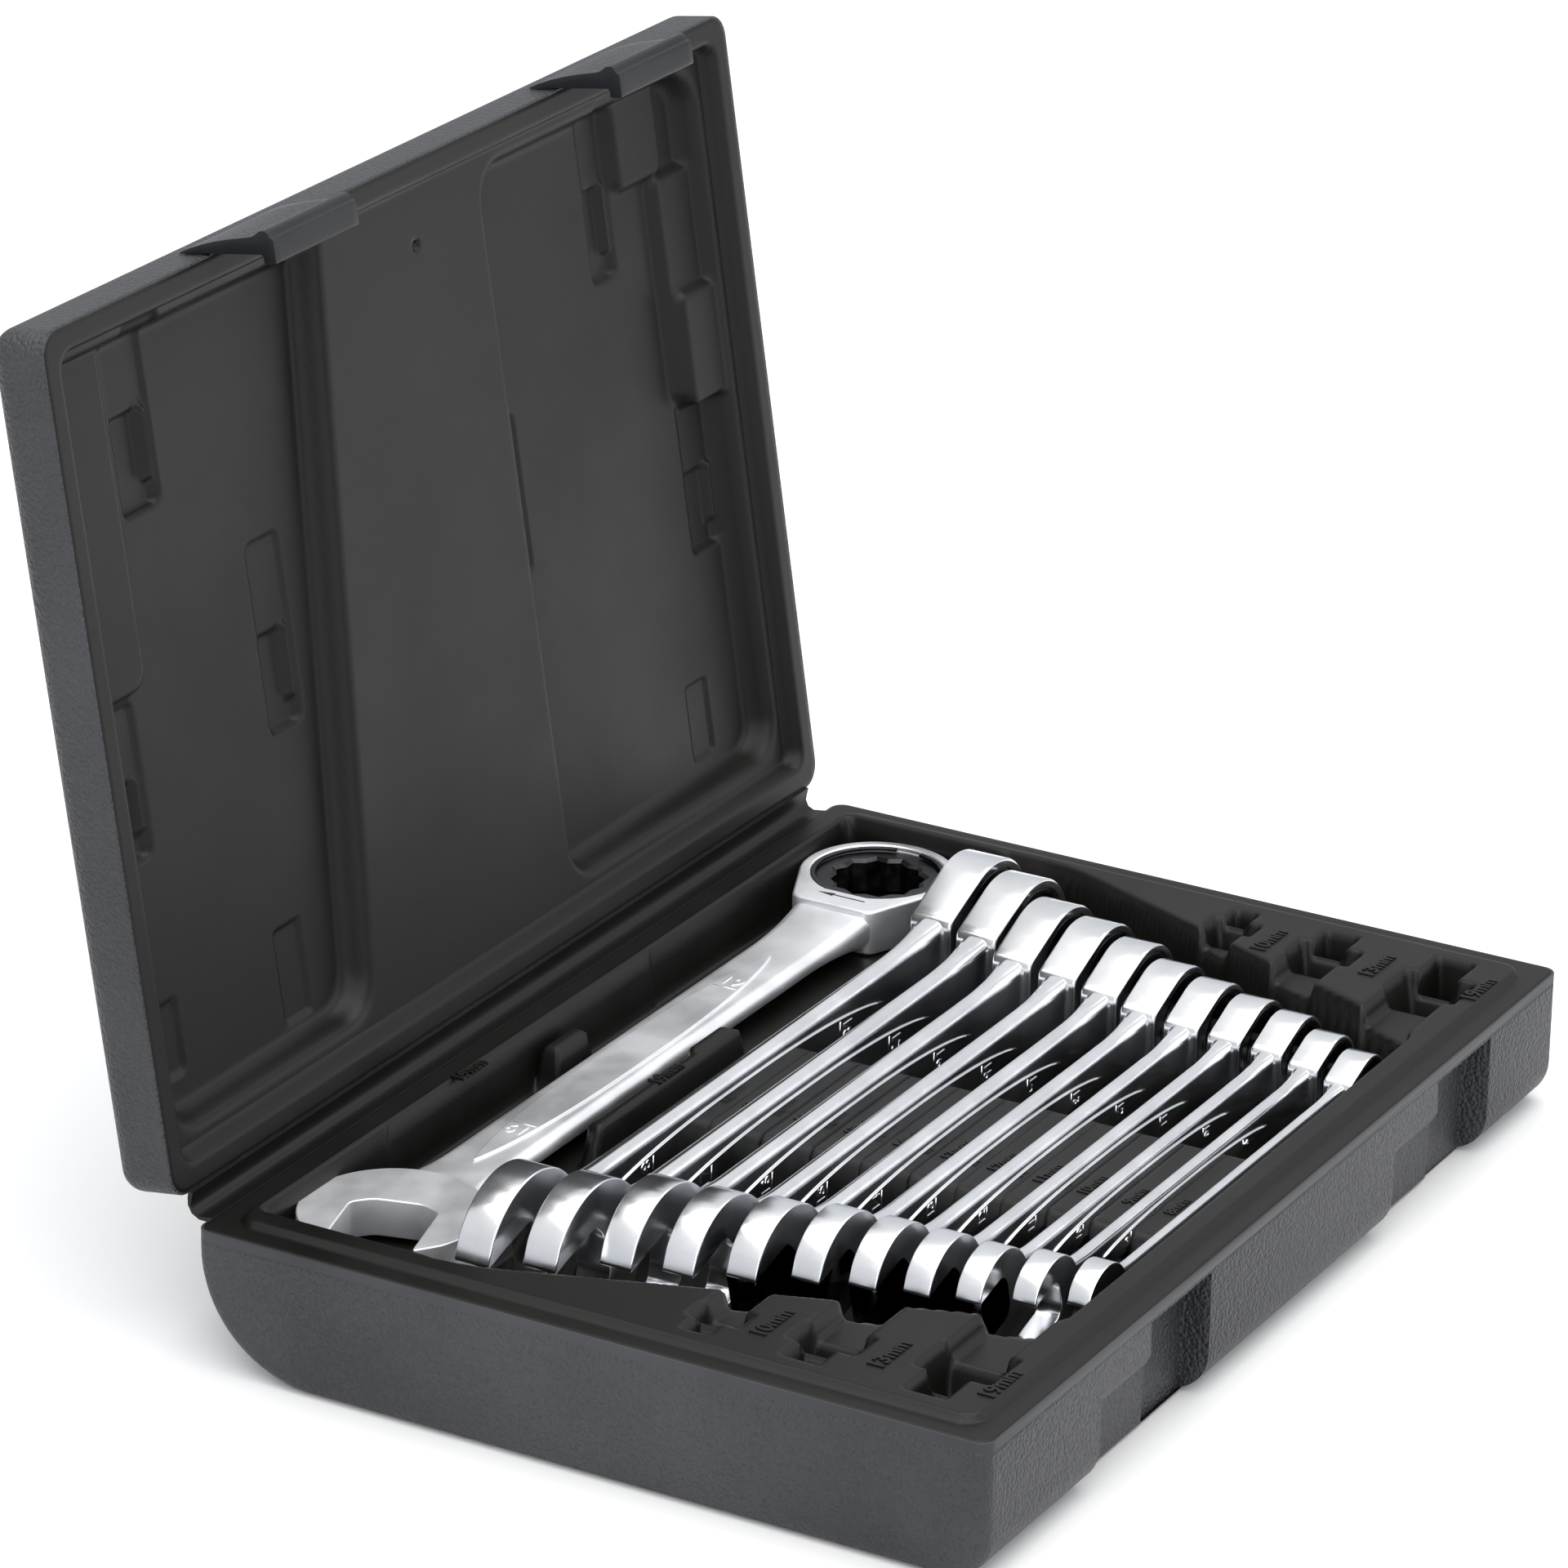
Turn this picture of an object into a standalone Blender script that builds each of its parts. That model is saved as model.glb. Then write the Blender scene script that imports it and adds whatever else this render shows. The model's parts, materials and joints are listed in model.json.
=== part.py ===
"""Set of twelve ratcheting combination wrenches, 8 to 19 mm, in a double-walled plastic case.

Frame: metres, +Z up.  The origin is the centre of the base's flat bottom.  X runs along the
hinge, +Y points at the hinge and -Y at the two latches.  The lid stands open, leaning back.
"""
import math

import bmesh
import bpy
from mathutils import Matrix, Vector

MM = 0.001

# ---- case: overall sizes -------------------------------------------------------------------
CASE_WIDTH = 270.0          # along the hinge
CASE_DEPTH = 186.0          # from latch side to hinge side
BASE_HEIGHT = 32.0          # bottom to rim
LID_HEIGHT = 14.5           # rim to the lid's outer face
WALL = 1.8                  # outer wall
SKIN = 1.4                  # inner wall
GAP = 0.3                   # clearance between neighbouring solids
REAR_RADIUS = 27.0          # big round at the hinge side of the base's bottom
FRONT_RADIUS = 10.0         # round at the latch side of the base's bottom
SIDE_RADIUS = 7.0           # round under the two short sides
LID_RADIUS = 5.0            # round around the lid's outer face

# ---- rim, lip and hinge --------------------------------------------------------------------
SHOULDER = 5.5              # flat rim outside the raised lip
LIP_RISE = 1.5              # how far the inner lip stands above the rim
LID_FLANGE = 5.0            # flat rim of the lid, which clears the lip
HINGE_REACH = 4.2           # from the wall to the fold of the hinge
HINGE_WEB = 1.2             # thickness of the hinge leaves
HINGE_INSET = 6.0           # hinge leaves end this far inside the side walls
LID_OPEN_DEG = 98.8         # rest pose, measured from closed

# ---- latches -------------------------------------------------------------------------------
LATCH_X = {"left": -60.0, "right": 77.0}
LATCH_WIDTH = 31.0
LATCH_THICK = 3.2
LATCH_REACH = 17.0          # below the lid's rim when closed
LATCH_ROOT = 7.0            # height of the root on the lid's front wall
LATCH_HOOK = 2.2            # how far the hook reaches in under the catch
LATCH_HOOK_HEIGHT = 3.0
LATCH_RUN = 0.6             # running clearance in front of the wall and under the catch
RECESS_LEFT = 11.0          # recess beyond the latch on its left
RECESS_RIGHT = 6.5          # recess beyond the latch on its right
RECESS_DEPTH = 5.0
CATCH_RISE = 4.6            # the catch stands this far out of the recess floor
CATCH_WIDTH = 22.5
FINGER_WIDTH = 19.0         # deeper finger pocket at the recess's right end
FINGER_DEPTH = 6.8

# ---- wrenches ------------------------------------------------------------------------------
LENGTH = {8: 140.0, 9: 150.0, 10: 160.0, 11: 165.0, 12: 171.0, 13: 178.0,
          14: 190.0, 15: 200.0, 16: 208.0, 17: 226.0, 18: 236.0, 19: 247.0}
STANDING = [18, 17, 16, 15, 14, 13, 12, 11, 10, 9, 8]   # from the hinge side to the latches
FLAT = 19                                               # lies flat along the hinge side
JAW_TILT_DEG = 15.0
JAW_PLAY = 0.15             # jaw is this much wider than the nut
HEAD_GAP = 2.65             # between neighbouring ring heads
ROW_START_Y = 39.8          # plane of the first standing wrench
ROW_START_X = 4.0           # middle of the first standing wrench
ROW_STEP_X = 0.55           # each smaller wrench sits this much further right
AXIS_HEIGHT = 23.0          # height of the standing wrenches' centre line
FLAT_Y = 66.5
FLAT_X = 2.0
FLAT_AXIS = 24.6            # height of the flat wrench's middle plane
BORE_FIT = 0.3              # gear to ring head, all round
LIP_SEAT = 1.0              # lip that holds the gear from below
CLIP_THICK = 0.8            # retaining ring
CLIP_SLOT_DEG = 24.0        # its opening
PAWL_TRAVEL = 0.5           # the pawl backs off this far as a tooth passes
RING_SEGMENTS = 24
HEAD_SEGMENTS = 20

# ---- tray ----------------------------------------------------------------------------------
FLOOR_LIFT = 0.3            # tray floor above the outer wall
HANDLE_CLEARANCE = 0.4      # slot to handle, each side
FLAT_CLEARANCE = 0.3        # shelf under the flat wrench
CAVITY_REAR = 87.0          # rear wall of the cavity, from the centre
CAVITY_LEFT = -124.0
CAVITY_RIGHT = 127.0
DECK_LEFT = [(-124.0, 36.0), (-82.0, -82.0)]     # slanted wall past the open ends
DECK_RIGHT = [(127.0, 26.0), (84.0, -82.0)]      # slanted wall past the ring ends
DECK_DROP = 4.5             # lower deck between the label bars
SHELF_EDGE = 45.4           # front edge of the flat wrench's shelf
SADDLE_HALF = 29.0          # the saddle that holds the handles, each side of its middle
SADDLE_X = 2.0
SADDLE_TOP = 24.0
SADDLE_ENDS = 3.0           # saddle material beyond the first and last slot
POCKET_FLOOR = 14.0
POCKET_OUTER = 125.0        # pockets start this far from the middle
POCKETS = {"10": (-20.4, 11.0, 13.5), "13": (-44.5, 14.5, 17.0), "19": (-72.8, 16.0, 23.5)}
LOW_DECK_SHARE = 0.45       # share of a pocket that the lower deck runs beside
PAD_FRONT_X = (-48.0, 19.0)                      # pad between the flat handle and the row
PAD_FRONT_WIDTH = 9.5
PAD_REAR_X = (-76.0, 37.0)                       # ledge behind the flat handle
PAD_REAR_DEPTH = 4.5
PAD_BUMP_X = (-18.0, 0.0)                        # bump that steadies the flat handle
PAD_TOP = 29.5
PAD_PLAY = 0.8              # pads to the flat handle

# ---- lid liner -----------------------------------------------------------------------------
BAND_LEFT = [(-49.0, 88.0), (-29.0, -88.0)]      # slanted left edge of the raised band
BAND_RIGHT = 32.0
BAND_DEPTH = 4.0            # band below the rim plane

COLOURS = {
    "grained_plastic": ((0.022, 0.023, 0.026, 1), 0.62, 0.0),
    "satin_plastic": ((0.016, 0.016, 0.017, 1), 0.42, 0.0),
    "chrome": ((0.82, 0.83, 0.85, 1), 0.14, 1.0),
    "dark_steel": ((0.09, 0.09, 0.095, 1), 0.38, 1.0),
    "spring_steel": ((0.35, 0.35, 0.36, 1), 0.3, 1.0),
}


# ---- scene and small helpers ---------------------------------------------------------------
def clear_scene():
    for item in list(bpy.data.objects):
        bpy.data.objects.remove(item, do_unlink=True)


def collection(name):
    made = bpy.data.collections.new(name)
    bpy.context.scene.collection.children.link(made)
    return made


def finish_material(node, finish):
    colour, roughness, metallic = COLOURS[finish]
    made = bpy.data.materials.new(node)
    made.use_nodes = True
    shader = made.node_tree.nodes["Principled BSDF"]
    shader.inputs["Base Color"].default_value = colour
    shader.inputs["Roughness"].default_value = roughness
    shader.inputs["Metallic"].default_value = metallic
    return made


def place(obj, where, node=None, finish=None):
    """Link an object: a part with its own material, or a cutter shown as wire."""
    where.objects.link(obj)
    if node:
        obj.data.materials.append(finish_material(node, finish))
    else:
        obj.hide_render = True
        obj.display_type = "WIRE"
    return obj


def mesh_object(name, shape):
    mesh = bpy.data.meshes.new(name)
    shape.to_mesh(mesh)
    shape.free()
    return bpy.data.objects.new(name, mesh)


def box(name, low, high):
    """A box between two corners given in millimetres."""
    low, high = Vector(low) * MM, Vector(high) * MM
    shape = bmesh.new()
    size = high - low
    bmesh.ops.create_cube(shape, size=1.0)
    bmesh.ops.scale(shape, vec=size, verts=shape.verts)
    bmesh.ops.translate(shape, vec=(low + high) / 2, verts=shape.verts)
    return mesh_object(name, shape)


def disc(name, radius, thick, segments, centre=(0, 0, 0)):
    shape = bmesh.new()
    bmesh.ops.create_cone(shape, cap_ends=True, segments=segments, radius1=radius * MM,
                          radius2=radius * MM, depth=thick * MM)
    bmesh.ops.translate(shape, vec=Vector(centre) * MM, verts=shape.verts)
    return mesh_object(name, shape)


def plate(name, outlines, low, high):
    """Closed outlines in XY, filled and raised from z = low to z = high (millimetres)."""
    curve = bpy.data.curves.new(name, "CURVE")
    curve.dimensions = "2D"
    curve.fill_mode = "BOTH"
    curve.extrude = (high - low) / 2 * MM
    for outline in outlines:
        spline = curve.splines.new("POLY")
        spline.points.add(len(outline) - 1)
        for point, (x, y) in zip(spline.points, outline):
            point.co = (x * MM, y * MM, 0, 1)
        spline.use_cyclic_u = True
    flat = bpy.data.objects.new(name + "_outline", curve)
    bpy.context.scene.collection.objects.link(flat)
    depsgraph = bpy.context.evaluated_depsgraph_get()
    mesh = bpy.data.meshes.new_from_object(flat.evaluated_get(depsgraph))
    bpy.data.objects.remove(flat, do_unlink=True)
    shape = bmesh.new()
    shape.from_mesh(mesh)
    bpy.data.meshes.remove(mesh)
    bmesh.ops.remove_doubles(shape, verts=shape.verts, dist=1e-6)
    bmesh.ops.dissolve_limit(shape, angle_limit=0.01, verts=shape.verts, edges=shape.edges)
    bmesh.ops.recalc_face_normals(shape, faces=shape.faces)
    bmesh.ops.translate(shape, vec=(0, 0, (low + high) / 2 * MM), verts=shape.verts)
    return mesh_object(name, shape)


def turned(name, profile, segments):
    """A profile of (radius, z) points from top to bottom, turned round Z by a Screw modifier."""
    shape = bmesh.new()
    points = [shape.verts.new((radius * MM, 0, z * MM)) for radius, z in profile]
    for first, second in zip(points, points[1:]):
        shape.edges.new((first, second))
    made = mesh_object(name, shape)
    screw = made.modifiers.new("turn", "SCREW")
    screw.steps = segments
    screw.render_steps = segments
    screw.use_merge_vertices = True
    screw.merge_threshold = 1e-6
    return made


def combine(target, other, operation):
    made = target.modifiers.new(operation.lower() + "_" + other.name, "BOOLEAN")
    made.operation = operation
    made.object = other
    made.solver = "EXACT"


def arc(centre, radius, start_deg, end_deg, steps):
    points = []
    for step in range(steps + 1):
        angle = math.radians(start_deg + (end_deg - start_deg) * step / steps)
        points.append((centre[0] + radius * math.cos(angle), centre[1] + radius * math.sin(angle)))
    return points


def grown(outline, by):
    """A convex outline, given anticlockwise, moved outwards by the same amount on every side."""
    lines = []
    for (x0, y0), (x1, y1) in zip(outline, outline[1:] + outline[:1]):
        length = math.hypot(x1 - x0, y1 - y0)
        nx, ny = (y1 - y0) / length, -(x1 - x0) / length
        lines.append((nx, ny, nx * x0 + ny * y0 + by))
    corners = []
    for (a, b, c), (d, e, f) in zip(lines[-1:] + lines[:-1], lines):
        det = a * e - b * d
        corners.append(((c * e - b * f) / det, (a * f - c * d) / det))
    return corners


# ---- values that follow ---------------------------------------------------------------------
HALF_W = CASE_WIDTH / 2
HALF_D = CASE_DEPTH / 2
PIVOT = (0.0, HALF_D + HINGE_REACH, BASE_HEIGHT + GAP / 2)
LID_RIM = BASE_HEIGHT + GAP                 # rim plane of the closed lid
LID_TOP = LID_RIM + LID_HEIGHT
LIP_TOP = BASE_HEIGHT + LIP_RISE
LIP_X = HALF_W - SHOULDER
LIP_Y = HALF_D - SHOULDER
LOW_DECK = LIP_TOP - DECK_DROP
TRAY_INSET = WALL + GAP                     # outer wall and clearance
TRAY_FLOOR = WALL + FLOOR_LIFT + SKIN
STANDING_UP = Matrix.Rotation(math.radians(90), 4, "X")


def ring_radius(size):
    return 0.92 * size + 0.8


def ring_thick(size):
    return 0.36 * size + 4.0


def gear_radius(size):
    return 0.78 * size + 0.5


def open_radius(size):
    return 1.03 * size + 0.6


def open_thick(size):
    return 0.3 * size + 2.9


def handle_width(size):
    return 0.82 * size + 1.0


def handle_thick(size):
    return 0.2 * size + 1.4


def row_places():
    """Middle of each standing wrench, as (x, y): ring heads keep HEAD_GAP between them."""
    places = {}
    y = ROW_START_Y
    for index, size in enumerate(STANDING):
        if index:
            y -= (ring_thick(STANDING[index - 1]) + ring_thick(size)) / 2 + HEAD_GAP
        places[size] = (ROW_START_X + ROW_STEP_X * index, y)
    return places


ROW = row_places()


def rounded_rectangle(half_x, half_y, radius, steps=3):
    outline = []
    for sx, sy, start in ((1, -1, 270), (1, 1, 0), (-1, 1, 90), (-1, -1, 180)):
        outline += arc((sx * (half_x - radius), sy * (half_y - radius)), radius,
                       start, start + 90, steps)
    return outline


# ---- base ----------------------------------------------------------------------------------
def base_block(name, inset, top):
    """The base's outer shape moved in by inset, as a solid up to z = top."""
    half = HALF_W - inset
    section = [(-HALF_D + inset, top)]
    section += arc((FRONT_RADIUS - HALF_D, FRONT_RADIUS), FRONT_RADIUS - inset, 180, 270, 4)
    section += arc((HALF_D - REAR_RADIUS, REAR_RADIUS), REAR_RADIUS - inset, 270, 360, 6)
    section += [(HALF_D - inset, top)]
    made = plate(name, [section], -half, half)
    made.data.transform(Matrix(((0, 0, 1, 0), (1, 0, 0, 0), (0, 1, 0, 0), (0, 0, 0, 1))))
    shape = bmesh.new()
    shape.from_mesh(made.data)
    ends = []
    for edge in shape.edges:
        at_end = all(abs(abs(v.co.x) - half * MM) < 1e-6 for v in edge.verts)
        at_top = all(abs(v.co.z - top * MM) < 1e-6 for v in edge.verts)
        if at_end and not at_top and edge.calc_face_angle(0) > 0.5:
            ends.append(edge)
    bmesh.ops.bevel(shape, geom=ends, offset=(SIDE_RADIUS - inset) * MM, segments=3,
                    affect="EDGES", profile=0.5)
    shape.to_mesh(made.data)
    shape.free()
    return made


def latch_span(side):
    """Left and right end of the recess that takes one latch."""
    middle = LATCH_X[side]
    return (middle - LATCH_WIDTH / 2 - RECESS_LEFT, middle + LATCH_WIDTH / 2 + RECESS_RIGHT)


def make_base_shell():
    shell = place(base_block("base_shell", 0.0, BASE_HEIGHT), parts, "base_shell",
                  "grained_plastic")
    hollow = place(base_block("base_hollow", WALL, BASE_HEIGHT + 5), cutters)
    combine(shell, hollow, "DIFFERENCE")
    wall_y = -HALF_D
    floor_y = wall_y + RECESS_DEPTH
    finger_y = wall_y + FINGER_DEPTH
    boss_top = BASE_HEIGHT - SKIN - GAP
    top = boss_top - WALL
    for side in LATCH_X:
        left, right = latch_span(side)
        finger = right - FINGER_WIDTH
        boss = place(box("boss_" + side, (left - WALL, wall_y - 1, -1),
                         (right + WALL, floor_y + WALL, boss_top)), cutters)
        boss_deep = place(box("boss_deep_" + side, (finger - WALL, wall_y - 1, -1),
                              (right + WALL, finger_y + WALL, boss_top)), cutters)
        recess = place(box("recess_" + side, (left, wall_y - 2, -2), (right, floor_y, top)), cutters)
        deep = place(box("finger_" + side, (finger, wall_y - 2, -2), (right, finger_y, top)), cutters)
        catch_low = LID_RIM - LATCH_REACH + LATCH_HOOK_HEIGHT + LATCH_RUN
        catch = place(box("catch_" + side, (left - 1, floor_y - CATCH_RISE, catch_low),
                          (left + CATCH_WIDTH, floor_y + 1, top + 1)), cutters)
        combine(hollow, boss, "DIFFERENCE")
        combine(hollow, boss_deep, "DIFFERENCE")
        combine(recess, catch, "DIFFERENCE")
        combine(shell, recess, "DIFFERENCE")
        combine(shell, deep, "DIFFERENCE")


def cavity_outline():
    """The deep front part of the cavity, anticlockwise."""
    left_top, left_low = DECK_LEFT
    right_top, right_low = DECK_RIGHT
    return [left_low, right_low, right_top, (CAVITY_RIGHT, SHELF_EDGE),
            (CAVITY_LEFT, SHELF_EDGE), left_top]


def add_tub(tray, name, outline, floor):
    """A thin-walled tub: its outside joins the tray, and its inside is cut later."""
    outside = place(plate(name + "_tub", [grown(outline, SKIN)], floor - SKIN,
                          BASE_HEIGHT - SKIN / 2), cutters)
    combine(tray, outside, "UNION")
    return place(plate(name + "_room", [outline], floor, LIP_TOP + 6), cutters)


def pocket_box(key, side):
    """Outline of an adapter pocket on the left (-1) or right (+1) deck, anticlockwise."""
    middle, width, length = POCKETS[key]
    ends = sorted((side * POCKET_OUTER, side * (POCKET_OUTER - length)))
    low, high = middle - width / 2, middle + width / 2
    return [(ends[0], low), (ends[1], low), (ends[1], high), (ends[0], high)]


def make_base_tray():
    flange = rounded_rectangle(HALF_W - TRAY_INSET, HALF_D - TRAY_INSET,
                               SIDE_RADIUS - TRAY_INSET)
    tray = place(plate("base_tray", [flange], BASE_HEIGHT - SKIN, BASE_HEIGHT), parts,
                 "base_tray", "satin_plastic")
    lip = place(plate("lip", [rounded_rectangle(LIP_X, LIP_Y, SIDE_RADIUS)],
                      BASE_HEIGHT - SKIN, LIP_TOP), cutters)
    combine(tray, lip, "UNION")
    shelf = FLAT_AXIS - ring_thick(FLAT) / 2 - FLAT_CLEARANCE
    shelf_outline = [(CAVITY_LEFT, SHELF_EDGE), (CAVITY_RIGHT, SHELF_EDGE),
                     (CAVITY_RIGHT, CAVITY_REAR), (CAVITY_LEFT, CAVITY_REAR)]
    rooms = [add_tub(tray, "row", cavity_outline(), TRAY_FLOOR),
             add_tub(tray, "shelf", shelf_outline, shelf)]
    for key in POCKETS:
        for side in (-1, 1):
            rooms.append(add_tub(tray, f"pocket_{key}_{side}", pocket_box(key, side),
                                 POCKET_FLOOR))
    low_decks = add_low_decks(tray)
    for room in rooms + low_decks:
        combine(tray, room, "DIFFERENCE")
    add_saddle(tray)
    add_pads(tray, shelf)


def add_low_decks(tray):
    """The deck is lower between the label bars, from each pocket to the row."""
    cuts = []
    for key, (middle, width, length) in POCKETS.items():
        start = POCKET_OUTER - length * (1 - LOW_DECK_SHARE)
        half = width / 2
        for side, line in ((-1, DECK_LEFT), (1, DECK_RIGHT)):
            inner = min(abs(point[0]) for point in line) - 1
            ends = sorted((side * start, side * inner))
            name = f"low_deck_{key}_{side}"
            under = place(box(name + "_skin", (ends[0] - SKIN, middle - half - SKIN, LOW_DECK - SKIN),
                              (ends[1] + SKIN, middle + half + SKIN, BASE_HEIGHT)), cutters)
            combine(tray, under, "UNION")
            cuts.append(place(box(name, (ends[0], middle - half, LOW_DECK),
                                  (ends[1], middle + half, LIP_TOP + 3)), cutters))
    return cuts


def add_saddle(tray):
    """A hollow block across the row, with a slot for each standing handle."""
    first, last = STANDING[0], STANDING[-1]
    rear = ROW[first][1] + handle_thick(first) / 2 + HANDLE_CLEARANCE + SADDLE_ENDS
    front = ROW[last][1] - handle_thick(last) / 2 - HANDLE_CLEARANCE - SADDLE_ENDS
    left, right = SADDLE_X - SADDLE_HALF, SADDLE_X + SADDLE_HALF
    block = place(box("saddle", (left, front, TRAY_FLOOR - SKIN / 2), (right, rear, SADDLE_TOP)),
                  cutters)
    combine(tray, block, "UNION")
    deepest = AXIS_HEIGHT - handle_width(first) / 2 - GAP
    under = place(box("saddle_hollow", (left + SKIN, front + SKIN, -1),
                      (right - SKIN, rear - SKIN, deepest - SKIN)), cutters)
    combine(tray, under, "DIFFERENCE")
    for size in STANDING:
        y = ROW[size][1]
        half = handle_thick(size) / 2 + HANDLE_CLEARANCE
        bottom = AXIS_HEIGHT - handle_width(size) / 2 - GAP
        slot = place(box(f"slot_{size:02d}", (left - 1, y - half, bottom),
                         (right + 1, y + half, SADDLE_TOP + 1)), cutters)
        combine(tray, slot, "DIFFERENCE")


def add_pads(tray, shelf):
    """Pads that keep the flat wrench's handle in place."""
    half = handle_width(FLAT) / 2 + PAD_PLAY
    root = shelf - SKIN / 2
    front = FLAT_Y - half
    rear = CAVITY_REAR + SKIN / 2
    blocks = {
        "pad_front": ((PAD_FRONT_X[0], front - PAD_FRONT_WIDTH, root),
                      (PAD_FRONT_X[1], front, PAD_TOP)),
        "pad_rear": ((PAD_REAR_X[0], CAVITY_REAR - PAD_REAR_DEPTH, root),
                     (PAD_REAR_X[1], rear, LIP_TOP)),
        "pad_bump": ((PAD_BUMP_X[0], FLAT_Y + half, root), (PAD_BUMP_X[1], rear, PAD_TOP)),
    }
    for name, (low, high) in blocks.items():
        combine(tray, place(box(name, low, high), cutters), "UNION")


def hinge_leaf(name, z_low, z_high):
    inset = HALF_W - HINGE_INSET
    return box(name, (-inset, HALF_D + GAP, z_low), (inset, PIVOT[1] - GAP / 2, z_high))


def make_base_leaf():
    leaf = hinge_leaf("hinge_leaf_base", PIVOT[2] - GAP / 2 - HINGE_WEB, PIVOT[2] - GAP / 2)
    place(leaf, parts, "hinge_leaf_base", "satin_plastic")


# ---- lid, drawn closed and turned open about the hinge --------------------------------------
def on_lid(made, pivot):
    """Hang a solid, drawn in the closed position, on the lid's hinge."""
    made.data.transform(Matrix.Translation(-Vector(PIVOT) * MM))
    made.parent = pivot
    return made


def lid_block(name, inset, low, high, pivot):
    """The lid's outer shape moved in by inset, with its upper edges rounded."""
    outline = rounded_rectangle(HALF_W - inset, HALF_D - inset, SIDE_RADIUS - inset)
    made = plate(name, [outline], low, high)
    shape = bmesh.new()
    shape.from_mesh(made.data)
    rim = [edge for edge in shape.edges
           if all(abs(v.co.z - high * MM) < 1e-6 for v in edge.verts)
           and edge.calc_face_angle(0) > 0.5]
    bmesh.ops.bevel(shape, geom=rim, offset=(LID_RADIUS - inset) * MM, segments=3,
                    affect="EDGES", profile=0.5)
    shape.to_mesh(made.data)
    shape.free()
    return on_lid(made, pivot)


def make_lid(pivot):
    shell = place(lid_block("lid_shell", 0.0, LID_RIM, LID_TOP, pivot), parts, "lid_shell",
                  "grained_plastic")
    hollow = place(lid_block("lid_hollow", WALL, LID_RIM - 5, LID_TOP - WALL, pivot), cutters)
    combine(shell, hollow, "DIFFERENCE")
    back = LID_TOP - WALL - GAP
    liner = place(lid_block("lid_liner", TRAY_INSET, LID_RIM, back, pivot), parts, "lid_liner",
                  "satin_plastic")
    room_x, room_y = HALF_W - LID_FLANGE, HALF_D - LID_FLANGE
    band = LID_RIM + BAND_DEPTH
    ceiling = back - SKIN
    (far_x, far_y), (near_x, near_y) = BAND_LEFT
    slope = (far_x - near_x) / (far_y - near_y)
    left_top = far_x + slope * (room_y - far_y)
    left_low = near_x + slope * (-room_y - near_y)
    shapes = {
        "lid_room": (rounded_rectangle(room_x, room_y, SIDE_RADIUS - 2), LID_RIM - 1, band),
        "lid_left": ([(-room_x, -room_y), (left_low, -room_y), (left_top, room_y),
                      (-room_x, room_y)], band - 1, ceiling),
        "lid_right": ([(BAND_RIGHT, -room_y), (room_x, -room_y), (room_x, room_y),
                       (BAND_RIGHT, room_y)], band - 1, ceiling),
        "band_back": ([(left_low + 2 * SKIN, -room_y), (BAND_RIGHT - SKIN, -room_y),
                       (BAND_RIGHT - SKIN, room_y), (left_top + SKIN, room_y)],
                      band + SKIN, back + 2),
    }
    for name, (outline, low, high) in shapes.items():
        cutter = on_lid(place(plate(name, [outline], low, high), cutters), pivot)
        combine(liner, cutter, "DIFFERENCE")
    leaf = hinge_leaf("hinge_leaf_lid", PIVOT[2] + GAP / 2, PIVOT[2] + GAP / 2 + HINGE_WEB)
    on_lid(place(leaf, parts, "hinge_leaf_lid", "satin_plastic"), pivot)


def make_latch(side, pivot):
    """A springy flap on the lid's front wall, whose hook snaps in under the catch."""
    left = LATCH_X[side] - LATCH_WIDTH / 2
    right = LATCH_X[side] + LATCH_WIDTH / 2
    inner = -HALF_D - LATCH_RUN
    outer = inner - LATCH_THICK
    low = LID_RIM - LATCH_REACH
    high = LID_RIM + LATCH_ROOT
    hook = inner + LATCH_HOOK
    slope = LATCH_THICK / 2
    section = [(outer, low + slope), (outer + slope, low), (hook, low + slope),
               (hook, low + LATCH_HOOK_HEIGHT), (inner, low + LATCH_HOOK_HEIGHT),
               (inner, high), (outer + slope, high), (outer, high - slope)]
    name = "latch_" + side
    flap = plate(name, [section], left, right)
    flap.data.transform(Matrix(((0, 0, 1, 0), (1, 0, 0, 0), (0, 1, 0, 0), (0, 0, 0, 1))))
    root = Vector((LATCH_X[side], inner, high)) * MM
    flap.data.transform(Matrix.Translation(-root))
    place(flap, parts, name, "grained_plastic")
    flap.parent = pivot
    flap.location = root - Vector(PIVOT) * MM


# ---- wrenches: drawn flat, ring bore at the origin, handle towards -X ------------------------
def wrench_place(size):
    """World matrix of a wrench: standing on edge in the row, or flat behind it."""
    reach = (LENGTH[size] / 2 - ring_radius(size)) * MM
    if size == FLAT:
        return Matrix.Translation(Vector((FLAT_X * MM + reach, FLAT_Y * MM, FLAT_AXIS * MM)))
    x, y = ROW[size]
    spot = Vector((x * MM + reach, y * MM, AXIS_HEIGHT * MM))
    return Matrix.Translation(spot) @ STANDING_UP


def handle_outline(size):
    """The handle's plan: a straight middle that widens towards both heads."""
    middle = handle_width(size) / 2
    ring_end = -0.8 * ring_radius(size)
    open_end = -(LENGTH[size] - ring_radius(size) - 1.2 * open_radius(size))
    flare = 0.75 * size
    upper = [(ring_end, 1.25 * middle), (ring_end - flare, 1.12 * middle),
             (ring_end - 2 * flare, middle), (open_end + 2 * flare, middle),
             (open_end + flare, 1.12 * middle), (open_end, 1.3 * middle)]
    lower = [(x, -y) for x, y in reversed(upper)]
    return lower + upper


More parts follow.
